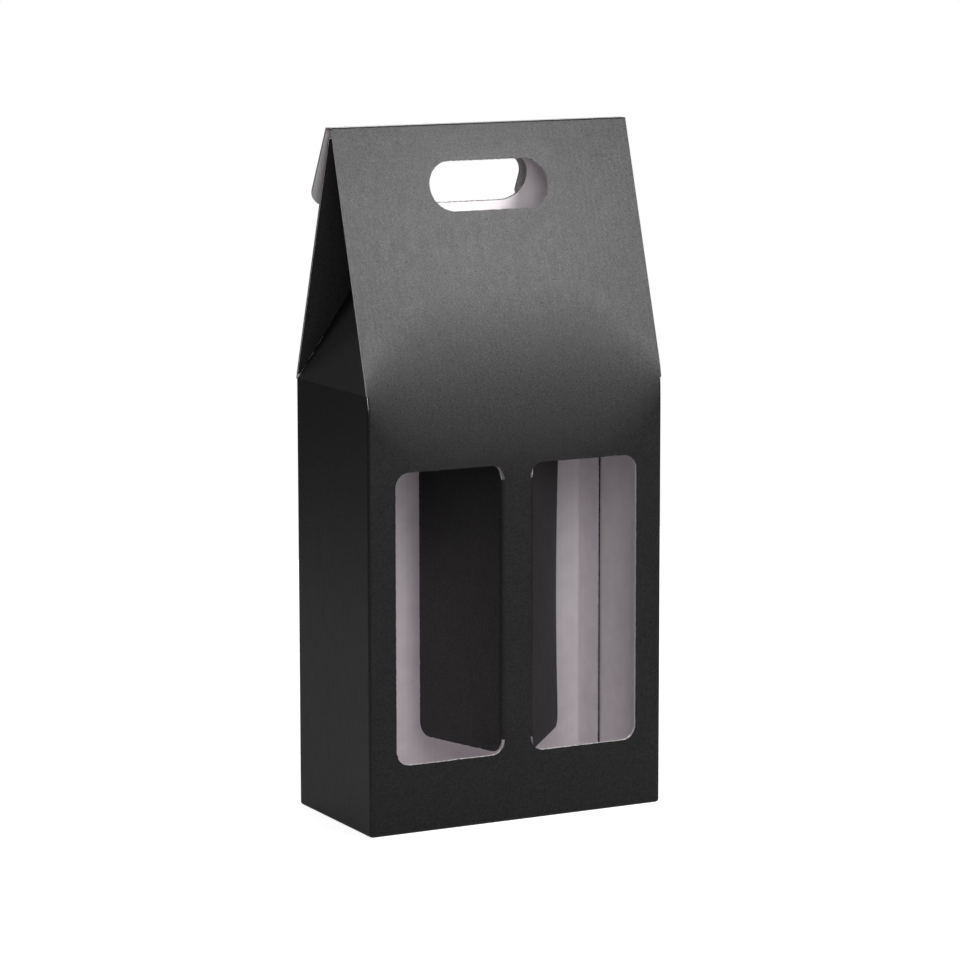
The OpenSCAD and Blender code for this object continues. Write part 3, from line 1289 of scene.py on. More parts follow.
@dataclass
class WindowCrease:
    """Crease beside the mullion, about which a window's cut-out is folded in.

    Attributes:
        carton: Sizes of the carton.
        side: Which of the two windows.
        radius: Radius of the printed face.
        run_in: Length by which the fold runs into the window's round corners.
        left_turn: Angle by which the left cut-out is folded in.
        right_turn: The same for the right one.
        room: Share of the room for the pressed board that it takes.
    """

    carton: Carton
    side: Side
    radius: float = 3.6
    run_in: float = 4.6
    left_turn: float = math.radians(74.0)
    right_turn: float = math.radians(49.0)
    room: float = 0.98

    @property
    def turn(self) -> float:
        """Angle by which the cut-out is folded in."""
        return self.left_turn if self.side is Side.LEFT else self.right_turn

    @property
    def pivot(self) -> float:
        """Distance of the fold's axis from the mullion's middle."""
        return self.carton.mullion / 2 + self.carton.gap

    @property
    def setback(self) -> float:
        """Distance from the axis to the corner of the two printed faces, along each of them."""
        return self.carton.board.thickness * math.tan(self.turn / 2)

    @property
    def press(self) -> float:
        """Share of the board's thickness that fits between the rounded printed face and the axis."""
        stretch = 1.0 / math.cos(self.turn / 2)
        return self.room * (stretch - self.radius * (stretch - 1.0) / self.carton.board.thickness)

    def fold(self, corner: float, high: bool) -> WindowFold:
        """Half of the fold.

        Args:
            corner: Place of the corner in the panel that bends.
            high: True at the panel's high end.

        Returns:
            The fold, which runs out in the window's round corners.
        """
        reach = self.carton.window_r - self.run_in
        plain = Fold.at_corner(corner, self.turn / 2, self.radius, high)
        low = self.carton.window_z + reach
        top = self.carton.window_z + self.carton.window_h - reach
        return WindowFold(plain.start, plain.turn, plain.radius, high, low, top, press=self.press)

    def mullion_fold(self) -> WindowFold:
        """Half of the fold in the front panel."""
        side = self.side.value
        return self.fold(side * (self.pivot + self.setback), self.side is Side.RIGHT)

    def flap_fold(self) -> WindowFold:
        """Half of the fold in the cut-out, which is drawn out from the axis."""
        return self.fold(-self.setback, False)


@dataclass
class SubAssembly:
    """Pieces that are built together.

    Attributes:
        shop: Workshop that builds them.
    """

    shop: Workshop

    @property
    def carton(self) -> Carton:
        """Sizes of the carton."""
        return self.shop.carton

    def build(self) -> None:
        """Builds the pieces."""
        raise NotImplementedError


@dataclass
class Walls(SubAssembly):
    """The four upright walls.

    Attributes:
        foot_r: Radius of the folds into the bottom.
        side_crease_r: Radius of the side walls' shoulder creases.
        front_bend_r: Radius of the front shoulder's bend at its ends.
        rear_bend_r: Radius of the rear shoulder's bend.
        set_back_w: Width over which a side wall's front edge is drawn back.
        set_back_step: Distance of the lines that divide the wall there.
        set_back_lines: Number of these lines.
    """

    foot_r: float = 1.9
    side_crease_r: float = 1.6
    front_bend_r: float = 80.0
    rear_bend_r: float = 30.0
    set_back_w: float = 14.0
    set_back_step: float = 2.0
    set_back_lines: int = 8

    def corner(self, place: float, high: bool) -> Fold:
        """Half of an upright corner."""
        return Fold.at_corner(place, HALF_CORNER, self.carton.corner_r, high)

    def foot(self) -> Fold:
        """Half of the fold into the bottom."""
        return Fold.at_corner(0.0, HALF_CORNER, self.foot_r, False)

    def window(self, side: Side) -> Loop:
        """Outline of one window in the front panel.

        Args:
            side: Which of the two.

        Returns:
            The cut edge, which is straight where the cut-out is folded in.
        """
        carton = self.carton
        near, far = carton.mullion / 2, carton.mullion / 2 + carton.window_w
        top = carton.window_z + carton.window_h
        fold = WindowCrease(carton, side).mullion_fold().end
        low, high, left, right = (near, far, fold, None) if side is Side.RIGHT else (-far, -near, None, fold)
        loop = Outline.rounded((low, carton.window_z), (high, top), carton.window_r, left, right)
        return Outline.frayed(loop, seed=11 + side.value, nicks=5, crease=fold)

    def front(self) -> Panel:
        """Makes the front panel with its windows.

        Returns:
            The panel.
        """
        carton = self.carton
        folds = [self.corner(-carton.half_w, False), self.corner(carton.half_w, True)]
        bend = SoftFold.soft(carton.shoulder, carton.lean(Slope.FRONT) / 2, self.front_bend_r, True,
                             carton.half_w)
        foot = self.foot()
        loop = Outline.box((folds[0].end, foot.end), (folds[1].end, bend.end))
        outline = Outline(loop, [self.window(side) for side in Side])
        folds += [WindowCrease(carton, side).mullion_fold() for side in Side]
        place = Place((0, -carton.half_d, 0), (1, 0, 0), (0, 0, 1), (0, 1, 0))
        return Panel(place, outline, folds, [foot, bend])

    def back(self) -> Panel:
        """Makes the back panel, whose right end folds into the glue flap.

        Returns:
            The panel.
        """
        carton = self.carton
        folds = [self.corner(-carton.inner_w + carton.gap, False), self.corner(carton.half_w, True)]
        bend = Fold.at_corner(carton.shoulder, carton.lean(Slope.REAR) / 2, self.rear_bend_r, True)
        foot = self.foot()
        loop = Outline.box((folds[0].end, foot.end), (folds[1].end, bend.end))
        place = Place((0, carton.half_d, 0), (-1, 0, 0), (0, 0, 1), (0, -1, 0))
        return Panel(place, Outline(loop), folds, [foot, bend])

    def end_wall(self, side: Side) -> Panel:
        """Makes a side wall. The right one ends in a cut edge over the back panel's fold.

        Args:
            side: Which of the two.

        Returns:
            The panel.
        """
        carton, s = self.carton, side.value
        folds, high = [self.corner(-carton.half_d, False)], carton.half_d
        if side is Side.LEFT:
            folds.append(self.corner(carton.half_d, True))
            high = folds[1].end
        bend = Fold.at_corner(carton.shoulder, carton.gusset_lean / 2, self.side_crease_r, True)
        foot = self.foot()
        place = Place((s * carton.half_w, 0, 0), (0, s, 0), (0, 0, 1), (-s, 0, 0))
        outline = Outline(Outline.box((folds[0].end, foot.end), (high, bend.end)))
        lines = [carton.shoulder - self.set_back_step * k for k in range(1, self.set_back_lines + 1)]
        return Panel(place, outline, folds, [foot, bend], lines, lambda flat: self.set_back(flat, side))

    def set_back(self, flat: np.ndarray, side: Side) -> np.ndarray:
        """Draws a side wall's front edge back where the front panel bends away at its shoulder.

        Args:
            flat: Places across, along and inward.
            side: Which of the two walls.

        Returns:
            The changed places.
        """
        carton, s = self.carton, side.value
        flat = flat.copy()
        bend = Fold.at_corner(carton.shoulder, carton.lean(Slope.FRONT) / 2, self.front_bend_r, True)
        above = np.maximum(flat[:, 1] - bend.start, 0.0)
        reach = -s * flat[:, 0] - (carton.half_d - self.set_back_w)
        front = np.clip(reach / self.set_back_w, 0.0, 1.0)
        flat[:, 0] += s * eased(front) * above ** 2 / (2 * self.front_bend_r)
        return flat

    def build(self) -> None:
        """Builds the walls."""
        self.shop.piece("front_panel", "box", self.front())
        self.shop.piece("back_panel", "box", self.back())
        for side in Side:
            self.shop.piece(f"{side.word}_side_panel", "box", self.end_wall(side))


@dataclass
class GlueSeam(SubAssembly):
    """Glue flap inside the right wall, with its dots of glue.

    Attributes:
        width: Width of the flap.
        slant_share: Slant of its ends, as a share of the width.
        dot_share: Place of the dots across the flap, as a share of the width.
        dot_d: Diameter of a dot.
        dot_t: Thickness of the glue.
        dot_sizes: Least and greatest size of a dot, as a share of its diameter.
        dot_squeeze: Share of the glue's thickness that a dot of full size fills.
        pitch: Distance of the dots.
        wobble: Size of the waves in a dot's outline.
        wobble_scale: Noise scale of these waves.
        dimple: Depth of the dimple over a dot.
        dimple_r: Radius of the dimple.
        rim: Height of the dimple's raised middle, over its depth.
        rim_focus: Narrowness of that middle.
        dimple_step: Distance of the lines that divide the flap at a dimple.
        dimple_lines: Number of these lines on each side of its middle.
    """

    width: float = 23.0
    slant_share: float = 0.35
    dot_share: float = 0.35
    dot_d: float = 6.0
    dot_t: float = 0.3
    dot_sizes: Point = (0.82, 0.98)
    dot_squeeze: float = 0.98
    pitch: float = 36.0
    wobble: float = 1.2
    wobble_scale: float = 420.0
    dimple: float = 0.6
    dimple_r: float = 1.8
    rim: float = 1.6
    rim_focus: float = 2.2
    dimple_step: float = 0.5
    dimple_lines: int = 6

    def dot_heights(self) -> list[float]:
        """Spreads the dots of glue over the flap.

        Returns:
            Their heights.
        """
        shoulder = self.carton.shoulder
        count = math.floor((shoulder - 2 * self.dot_d) / self.pitch)
        first = (shoulder - (count - 1) * self.pitch) / 2
        return [first + k * self.pitch for k in range(count)]

    def dent(self, flat: np.ndarray) -> np.ndarray:
        """Presses a small ring into the flap's face at each dot of glue.

        Args:
            flat: Places across, along and inward.

        Returns:
            The changed places.
        """
        centre = self.carton.board.thickness + self.width * self.dot_share
        flat = flat.copy()
        for height in self.dot_heights():
            reach = np.hypot(flat[:, 0] - centre, flat[:, 1] - height) / self.dimple_r
            ring = np.exp(-reach ** 2) * (1 - self.rim * np.exp(-(self.rim_focus * reach) ** 2))
            flat[:, 2] -= self.dimple * ring
        return flat

    def flap(self) -> Panel:
        """Makes the glue flap, slanted at both ends.

        Returns:
            The panel.
        """
        carton, t = self.carton, self.carton.board.thickness
        fold = Fold.at_corner(0.0, HALF_CORNER, carton.corner_r, False)
        reach, slant = t + self.width, self.width * self.slant_share
        low, high = 2 * t + carton.gap, carton.shoulder - t
        outline = Outline([(fold.end, low), (t, low), (reach, low + slant),
                           (reach, high - slant), (t, high), (fold.end, high)])
        place = Place((carton.inner_w - self.dot_t, carton.half_d, 0), (0, -1, 0), (0, 0, 1), (-1, 0, 0))
        steps = range(-self.dimple_lines, self.dimple_lines + 1)
        lines = [height + step * self.dimple_step for height in self.dot_heights() for step in steps]
        return Panel(place, outline, [fold], [], lines, self.dent)

    def drawn(self, tool: NodeTool, least: float, greatest: float, seed: int) -> bpy.types.NodeSocket:
        """Adds a random value for each dot and gives its output."""
        limits = {2: least, 3: greatest, "Seed": seed}
        return tool.add("FunctionNodeRandomValue", limits, data_type="FLOAT").outputs[1]

    def row(self) -> NodeTool:
        """Builds the node tree that lays the row of dots.

        Returns:
            The tool, with named inputs for the row.
        """
        tool = NodeTool("glue_row", [
            ("Dots", "NodeSocketInt", len(self.dot_heights())),
            ("Pitch", "NodeSocketFloat", self.pitch * MM),
            ("Diameter", "NodeSocketFloat", self.dot_d * MM),
            ("Thickness", "NodeSocketFloat", self.dot_t * MM),
            ("Glue", "NodeSocketMaterial", self.shop.finishes.glue),
        ])
        tree, least, greatest = tool.tree, *self.dot_sizes
        step = tool.add("ShaderNodeCombineXYZ", {"Z": tool.value("Pitch")}).outputs[0]
        line = tool.add("GeometryNodeMeshLine", {"Count": tool.value("Dots"), "Offset": step})
        ball = tool.add("GeometryNodeMeshIcoSphere", {"Radius": 0.5, "Subdivisions": 4}).outputs[0]
        flat = tool.add("ShaderNodeCombineXYZ", {
            "X": maths(tree, "MULTIPLY", tool.value("Thickness"), self.dot_squeeze),
            "Y": tool.value("Diameter"), "Z": tool.value("Diameter"),
        }).outputs[0]
        vary = self.drawn(tool, least, greatest, seed=7)
        size = tool.add("ShaderNodeVectorMath", {0: flat, "Scale": vary}, operation="SCALE").outputs[0]
        turn = self.drawn(tool, 0.0, math.tau, seed=3)
        spin = tool.add("ShaderNodeCombineXYZ", {"X": turn}).outputs[0]
        row = tool.add("GeometryNodeInstanceOnPoints", {
            "Points": line.outputs[0], "Instance": ball, "Rotation": spin, "Scale": size,
        })
        whole = tool.add("GeometryNodeRealizeInstances", {0: row.outputs[0]})
        wave = tool.add("ShaderNodeTexNoise", {"Scale": self.wobble_scale, "Detail": 2.0}).outputs["Fac"]
        aside = maths(tree, "MULTIPLY", maths(tree, "SUBTRACT", wave, 0.5), self.wobble * MM)
        push = tool.add("ShaderNodeCombineXYZ", {"Y": aside}).outputs[0]
        shaped = tool.add("GeometryNodeSetPosition", {"Geometry": whole.outputs[0], "Offset": push})
        glued = tool.add("GeometryNodeSetMaterial", {
            "Geometry": shaped.outputs[0], "Material": tool.value("Glue"),
        })
        tree.links.new(glued.outputs[0], tool.result.inputs[0])
        return tool

    def dots(self) -> bpy.types.Object:
        """Lays the row of squeezed dots of glue between the flap and the wall.

        Returns:
            The piece.
        """
        carton = self.carton
        mesh = self.row().run(bpy.data.meshes.new("start"), {})
        lowest = Vector((carton.inner_w - self.dot_t / 2, carton.inner_d - self.width * self.dot_share,
                         self.dot_heights()[0]))
        mesh.transform(Matrix.Translation(lowest * MM))
        return self.shop.tie(add_object("glue_dots_row", mesh), "glue_dots", "box", "hot_melt")

    def build(self) -> None:
        """Builds the seam."""
        self.shop.piece("glue_flap", "box", self.flap(), slot="grey_board")
        self.dots()


@dataclass
class Gable(SubAssembly):
    """Both slopes, the ridge strip and the closure flap.

    Attributes:
        front_bend_r: Radius of the front shoulder's bend at its ends.
        front_bend_early: Share of the turn that the slope takes early there.
        rear_bend_r: Radius of the rear shoulder's bend.
        ridge_r: Radius of the creases at the ridge.
        flap_length: Length of the closure flap.
        flap_r: Radius of its free corners.
        notch_drop: Distance of the hand notch from the flap's crease.
        notch_w: Width of the notch.
        notch_r: Radius of its lower corners.
    """

    front_bend_r: float = 80.0
    front_bend_early: float = 0.2
    rear_bend_r: float = 30.0
    ridge_r: float = 1.0
    flap_length: float = 49.0
    flap_r: float = 10.0
    notch_drop: float = 21.2
    notch_w: float = 71.0
    notch_r: float = 5.0

    def slot_hole(self, width: float, centre: float) -> Loop:
        """Outline of a hand hole with round ends.

        Args:
            width: Width of the hole.
            centre: Place of its middle along the slope.

        Returns:
            The cut edge.
        """
        radius, reach = self.carton.hole_h / 2, (width - self.carton.hole_h) / 2
        loop = Outline.arc((reach, centre), radius, -QUARTER, math.pi, parts=24)
        loop += Outline.arc((-reach, centre), radius, QUARTER, math.pi, parts=24)
        return Outline.frayed(loop, seed=3)

    def slope(self, slope: Slope) -> Panel:
        """Makes one slope, drawn up from its shoulder crease.

        Args:
            slope: Which of the two.

        Returns:
            The panel.
        """
        carton = self.carton
        lean, length = carton.lean(slope), carton.slope_length(slope)
        drop = carton.hole_drop + carton.hole_h / 2
        folds: list[Fold]
        if slope is Slope.FRONT:
            s, width = 1.0, carton.hole_w
            folds = [
                SoftFold.soft(0.0, lean / 2, self.front_bend_r, False, carton.half_w, self.front_bend_early),
                Fold.at_corner(length, (QUARTER - lean) / 2, self.ridge_r, True),
            ]
            top = folds[1].end
        else:
            s, width = -1.0, carton.rear_hole_w
            drop -= carton.rear_drop / math.cos(lean) + carton.rear_hole_rise
            folds = [Fold.at_corner(0.0, lean / 2, self.rear_bend_r, False)]
            top = length
        loop = Outline.box((-carton.half_w, folds[0].end), (carton.half_w, top))
        place = Place((0, -s * carton.half_d, carton.shoulder), (s, 0, 0),
                      (0, s * math.sin(lean), math.cos(lean)), (0, s * math.cos(lean), -math.sin(lean)))
        return Panel(place, Outline(loop, [self.slot_hole(width, length - drop)]), [], folds)

    def strip(self) -> Panel:
        """Makes the ridge strip, drawn from its front crease to its rear one.

        Returns:
            The panel.
        """
        carton = self.carton
        folds = [
            Fold.at_corner(0.0, (QUARTER - carton.lean(Slope.FRONT)) / 2, self.ridge_r, False),
            Fold.at_corner(carton.ridge_w, (QUARTER - carton.flap_tilt) / 2, self.ridge_r, True),
        ]
        outline = Outline(Outline.box((-carton.half_w, folds[0].end), (carton.half_w, folds[1].end)))
        place = Place((0, -carton.ridge_front, carton.ridge), (1, 0, 0), (0, 1, 0), (0, 0, -1))
        return Panel(place, outline, [], folds)

    def closure_outline(self, top: float) -> Loop:
        """Outline of the closure flap, with round corners and a hand notch in its free edge.

        Args:
            top: Place of the flap's folded end.

        Returns:
            The outline.
        """
        half, free, inner = self.carton.half_w, self.flap_length, self.carton.hole_h / 2
        notch, outer, edge = self.notch_w / 2, self.flap_r, self.notch_r
        loop: Loop = [(-half, top), (half, top)]
        loop += Outline.arc((half - outer, free - outer), outer, 0, QUARTER, parts=10)
        loop += Outline.arc((notch + edge, free - edge), edge, QUARTER, QUARTER, parts=8)
        loop += Outline.arc((notch - inner, self.notch_drop + inner), inner, 0, -QUARTER, parts=12)
        loop += Outline.arc((inner - notch, self.notch_drop + inner), inner, -QUARTER, -QUARTER, parts=12)
        loop += Outline.arc((-notch - edge, free - edge), edge, 0, QUARTER, parts=8)
        loop += Outline.arc((outer - half, free - outer), outer, QUARTER, QUARTER, parts=10)
        return loop

    def closure(self) -> Panel:
        """Makes the closure flap, drawn down from the ridge strip's rear crease.

        Returns:
            The panel.
        """
        carton, tilt = self.carton, self.carton.flap_tilt
        fold = Fold.at_corner(0.0, (QUARTER - tilt) / 2, self.ridge_r, False)
        place = Place((0, carton.ridge_w - carton.ridge_front, carton.ridge), (1, 0, 0),
                      (0, math.sin(tilt), -math.cos(tilt)), (0, -math.cos(tilt), -math.sin(tilt)))
        return Panel(place, Outline(self.closure_outline(fold.end)), [], [fold])

    def build(self) -> None:
        """Builds the gable."""
        self.shop.piece("front_slope", "front_slope", self.slope(Slope.FRONT))
        self.shop.piece("rear_slope", "rear_slope", self.slope(Slope.REAR))
        self.shop.piece("ridge_strip", "ridge_strip", self.strip())
        self.shop.piece("closure_flap", "closure_flap", self.closure())


@dataclass
class Gussets(SubAssembly):
    """Triangle and two wings in each gable end.

    Attributes:
        crease_r: Radius of a gusset's shoulder crease.
        edge_gap: Room between a slanting crease's middle and the edge of each sheet.
        scallop: Height of the scallops that the torn perforation leaves.
        scallop_pitch: Distance of the scallops.
        scallop_parts: Number of parts of one scallop.
        nick: Height by which a wing's lowest corner is cut off.
        wing_trim: Distance of a wing's tip from the middle.
        wing_drop: Distance of a front wing's upper corner from its slope's upper edge.
        rear_wing_drop: The same for a rear wing.
        rear_wing_shelf: Width of the straight part of a rear wing's upper edge.
        fold_press: Least share of the board's thickness at a wing's folding line.
    """

    crease_r: float = 1.6
    edge_gap: float = 0.06
    scallop: float = 0.12
    scallop_pitch: float = 10.5
    scallop_parts: int = 6
    nick: float = 2.4
    wing_trim: float = 4.0
    wing_drop: float = 10.0
    rear_wing_drop: float = 1.0
    rear_wing_shelf: float = 5.0
    fold_press: float = 0.08

    def torn(self, start: Point, end: Point) -> Loop:
        """Draws an edge that was torn along a perforation.

        Args:
            start: First end of the edge.
            end: Last end of it.

        Returns:
            Its points, both ends included.
        """
        a, b = np.array(start), np.array(end)
        length = float(np.linalg.norm(b - a))
        aside = np.array([-(b - a)[1], (b - a)[0]]) / length
        parts = self.scallop_parts
        count = parts * max(1, round(length / self.scallop_pitch))
        loop: Loop = []
        for k in range(count + 1):
            wave = self.scallop * abs(math.sin(math.pi * k / parts)) if 0 < k < count else 0.0
            point = a + (b - a) * k / count + aside * wave
            loop.append((float(point[0]), float(point[1])))
        return loop

    def gusset(self, side: Side) -> Panel:
        """Makes the triangle that leans in from a side wall.

        Args:
            side: Which of the two ends.

        Returns:
            The panel.
        """
        carton, s = self.carton, side.value
        lean, angle = carton.gusset_lean, carton.gusset_angle
        root = carton.wing_root(Slope.FRONT)
        foot = root - self.edge_gap / math.sin(angle)
        apex = root * math.tan(angle) - self.edge_gap / math.cos(angle)
        fold = Fold.at_corner(0.0, lean / 2, self.crease_r, False)
        right = self.torn((foot, 0.0), (0.0, apex))
        left = self.torn((0.0, apex), (-foot, 0.0))
        outline = Outline([(-foot, fold.end), (foot, fold.end), *right, *left[1:]])
        place = Place((s * carton.half_w, 0, carton.shoulder), (0, s, 0),
                      (-s * math.sin(lean), 0, math.cos(lean)), (-s * math.cos(lean), 0, -math.sin(lean)))
        return Panel(place, outline, [], [fold], creased=True)

    def wing(self, slope: Slope, side: Side) -> Panel:
        """Makes the wing between a slope's end and the gusset's slanting crease.

        Args:
            slope: The slope that carries the wing.
            side: Which of the two ends.

        Returns:
            The panel.
        """
        carton, s = self.carton, side.value
        f, drop = (1.0, self.wing_drop) if slope is Slope.FRONT else (-1.0, self.rear_wing_drop)
        lean, fold, root = carton.lean(slope), carton.wing_fold(slope), carton.wing_root(slope)
        angle = carton.gusset_angle
        tip, top, peak = root - self.wing_trim, carton.slope_length(slope) - drop, root * math.tan(angle)
        foot = self.edge_gap / math.cos(angle)
        edge = [(max(u, 0.0), v) for u, v in self.torn((0.0, foot), (tip, foot + tip * math.tan(angle)))]
        edge = [(0.0, foot + self.nick), *(point for point in edge if point[1] > foot + self.nick)]
        shelf = [] if slope is Slope.FRONT else [(self.rear_wing_shelf, top)]
        outline = Outline([*edge, (tip, top + (peak - top) * tip / root), *shelf, (0.0, top)])
        along = np.array([0.0, math.sin(lean), math.cos(lean)])
        across = np.array([math.cos(fold), math.sin(fold) * math.cos(lean), -math.sin(fold) * math.sin(lean)])
        inward = np.cross(across, along)
        flip = np.array([-s, f, 1.0])
        place = Place((s * carton.half_w, -f * root, carton.shoulder),
                      tuple(across * flip), tuple(along * flip), tuple(inward * flip))
        return Panel(place, outline, warp=lambda flat: self.pressed(flat, fold), creased=True)

    def pressed(self, flat: np.ndarray, fold: float) -> np.ndarray:
        """Thins the board beside a wing's folding line, where the crease is pressed flat.

        Args:
            flat: Places across, along and inward.
            fold: Angle between the wing and its slope.

        Returns:
            The changed places.
        """
        flat = flat.copy()
        room = flat[:, 0] * math.tan(fold) / self.carton.board.thickness
        flat[:, 2] *= np.clip(room, self.fold_press, 1.0)
        return flat

    def build(self) -> None:
        """Builds both gable ends."""
        for side in Side:
            gusset = f"{side.word}_gusset"
            self.shop.piece(gusset, gusset, self.gusset(side))
            for slope in Slope:
                wing = f"{slope.value}_{side.word}_wing"
                self.shop.piece(wing, wing, self.wing(slope, side))


@dataclass
class Dividers(SubAssembly):
    """The two window cut-outs, folded in between the bottles.

    Attributes:
        bow: Depth to which the right flap's free edge is bowed.
        bow_parts: Number of parts into which that flap is divided along its height.
        crease_w: Length of the crease that is given with a flap, from its axis along the flap.
    """

    bow: float = 1.2
    bow_parts: int = 24
    crease_w: float = 5.0

    def flap(self, side: Side) -> Panel:
        """Makes one cut-out, drawn out from its crease beside the mullion.

        Args:
            side: Which of the two.

        Returns:
            The panel.
        """
        carton, s = self.carton, side.value
        crease = WindowCrease(carton, side)
        turn, fold = crease.turn, crease.flap_fold()
        width = carton.window_w - 2 * carton.gap
        low = carton.window_z + carton.gap
        high = carton.window_z + carton.window_h - carton.gap
        loop = Outline.rounded((0.0, low), (width, high), carton.window_r - carton.gap, left=fold.end)
        loop = Outline.frayed(loop, seed=5 + s, nicks=4, crease=fold.end)
        across = (s * math.cos(turn), math.sin(turn), 0.0)
        inward = (-s * math.sin(turn), math.cos(turn), 0.0)
        pivot, t = (s * crease.pivot, -carton.inner_d), carton.board.thickness
        origin = (pivot[0] - t * inward[0], pivot[1] - t * inward[1], 0.0)
        panel = Panel(Place(origin, across, (0, 0, 1), inward), Outline(loop), [fold])
        if side is Side.RIGHT:
            parts = self.bow_parts
            panel.lines_along = [low + (high - low) * k / parts for k in range(1, parts)]
            panel.warp = lambda flat: self.bowed(flat, width, low, high)
        return panel

    def bowed(self, flat: np.ndarray, width: float, low: float, high: float) -> np.ndarray:
        """Bows a flap's free edge a little, as the photo shows it.

        Args:
            flat: Places across, along and inward.
            width: Width of the flap.
            low: Its lower end.
            high: Its upper end.

        Returns:
            The changed places.
        """
        flat = flat.copy()
        along = np.clip((flat[:, 1] - low) / (high - low), 0.0, 1.0)
        out = np.clip(flat[:, 0] / width, 0.0, 1.0)
        flat[:, 2] += self.bow * out ** 2 * np.sin(math.pi * along)
        return flat

    def build(self) -> None:
        """Builds both flaps, each given with its crease, so that it is left in place and not tied to its
        body.
        """
        for side in Side:
            node, panel = f"{side.word}_divider_flap", self.flap(side)
            pivot = WindowCrease(self.carton, side).pivot
            start = Vector((side.value * pivot, -self.carton.inner_d, 0.0))
            end = start + Vector(panel.place.across) * self.crease_w
            self.shop.piece(node, node, panel, crease=(start * MM, end * MM))


@dataclass
class Bottom(SubAssembly):
    """Locking bottom: two lobed flaps, two side flaps and two glued corner tabs.

    Attributes:
        lobe_lap: Length by which a lobe laps over the opposite flap.
        lobe_step: Length over which it steps up.
        lobe_parts: Number of parts into which the step is divided.
        side_gap: Gap between the two side flaps, on each side of the middle.
        side_share: Slant of a side flap's ends, as a share of its length.
    """

    lobe_lap: float = 14.0
    lobe_step: float = 4.0
    lobe_parts: int = 6
    side_gap: float = 1.5
    side_share: float = 0.25

    @property
    def wide(self) -> float:
        """Half of a locking flap's width."""
        return self.carton.inner_w - self.carton.gap

    @property
    def lobe(self) -> float:
        """Width of a locking flap's lobe."""
        return self.wide - self.carton.inner_d

    @property
    def edge(self) -> float:
        """Place of a locking flap's straight free edge."""
        return self.carton.half_d - self.carton.gap

    def seat(self, back: bool) -> Place:
        """Place of a locking flap. The back one is the front one turned half round."""
        s = -1.0 if back else 1.0
        return Place((0, -s * self.carton.half_d, 0), (s, 0, 0), (0, s, 0), (0, 0, 1))

    def step_up(self, flat: np.ndarray) -> np.ndarray:
        """Lifts a lobe by the board's thickness over the opposite flap.

        Args:
            flat: Places across, along and inward.

        Returns:
            The changed places.
        """
        carton = self.carton
        flat = flat.copy()
        start = carton.half_d - self.lobe_step
        share = np.clip((flat[:, 1] - start) / self.lobe_step, 0.0, 1.0)
        flat[:, 2] += carton.board.thickness * eased(share)
        return flat

    def locking(self, back: bool) -> tuple[Panel, Panel]:
        """Makes a locking flap and its lobe.

        Args:
            back: True for the back one.

        Returns:
            The flap and the lobe.
        """
        carton, gap, place = self.carton, self.carton.gap, self.seat(back)
        fold = Fold.at_corner(0.0, HALF_CORNER, carton.corner_r, False)
        start = carton.half_d - self.lobe_step
        notch = start - gap
        main = Outline([
            (gap - self.wide, fold.end), (self.wide, fold.end), (self.wide, self.edge), (-gap, self.edge),
            (-gap, notch), (-self.lobe - self.lobe_step, notch), (gap - self.wide, carton.board.thickness),
        ])
        tongue = Outline(Outline.box((gap - self.lobe, notch), (-2 * gap, carton.half_d + self.lobe_lap)))
        steps = [start + self.lobe_step * k / self.lobe_parts for k in range(self.lobe_parts + 1)]
        return Panel(place, main, [], [fold]), Panel(place, tongue, [], [], steps, self.step_up)

    def tab(self, back: bool) -> Panel:
        """Makes a corner triangle, glued under a side flap.

        Args:
            back: True for the back one.

        Returns:
            The panel.
        """
        gap = self.carton.gap
        outline = Outline([(-self.wide, self.carton.board.thickness + gap),
                           (-self.lobe - 2 * gap, self.edge), (-self.wide, self.edge)])
        return Panel(self.seat(back), outline)

    def side_flap(self, side: Side) -> Panel:
        """Makes a side flap, lying on the locking flaps with its plain face up.

        Args:
            side: Which of the two.

        Returns:
            The panel.
        """
        carton, s = self.carton, side.value
        length = carton.inner_d - self.side_gap
        slant = length * self.side_share
        outline = Outline([(-carton.inner_d, 0.0), (carton.inner_d, 0.0),
                           (carton.inner_d - slant, length), (slant - carton.inner_d, length)])
        place = Place((s * carton.inner_w, 0, carton.board.thickness), (0, s, 0), (-s, 0, 0), (0, 0, 1))
        return Panel(place, outline)

    def build(self) -> None:
        """Builds the bottom."""
        for back, name in ((False, "front"), (True, "back")):
            self.shop.piece(f"{name}_bottom_flap", "box", *self.locking(back))
            self.shop.piece(f"{name}_glue_tab", "box", self.tab(back))
        for side in Side:
            self.shop.piece(f"{side.word}_bottom_flap", "box", self.side_flap(side), slot="grey_board")


@dataclass(frozen=True)
class Softbox:
    """Rectangular soft light that points at the carton. Its lengths are in metres.

    Attributes:
        name: The light's name.
        place: Where it stands.
        size: Its width and height.
        power: Its power, in watts.
        aim: Point that it is turned to.
    """

    name: str
    place: Triple
    size: Point
    power: float
    aim: Triple = (0.0, 0.0, 0.25)

    def build(self) -> None:
        """Adds the light."""
        data = bpy.data.lights.new(self.name, "AREA")
        data.shape = "RECTANGLE"
        data.size, data.size_y = self.size
        data.energy = self.power
        light = add_object(self.name, data)
        light.location = self.place
        toward = Vector(self.aim) - Vector(self.place)
        light.rotation_euler = toward.to_track_quat("-Z", "Y").to_euler()


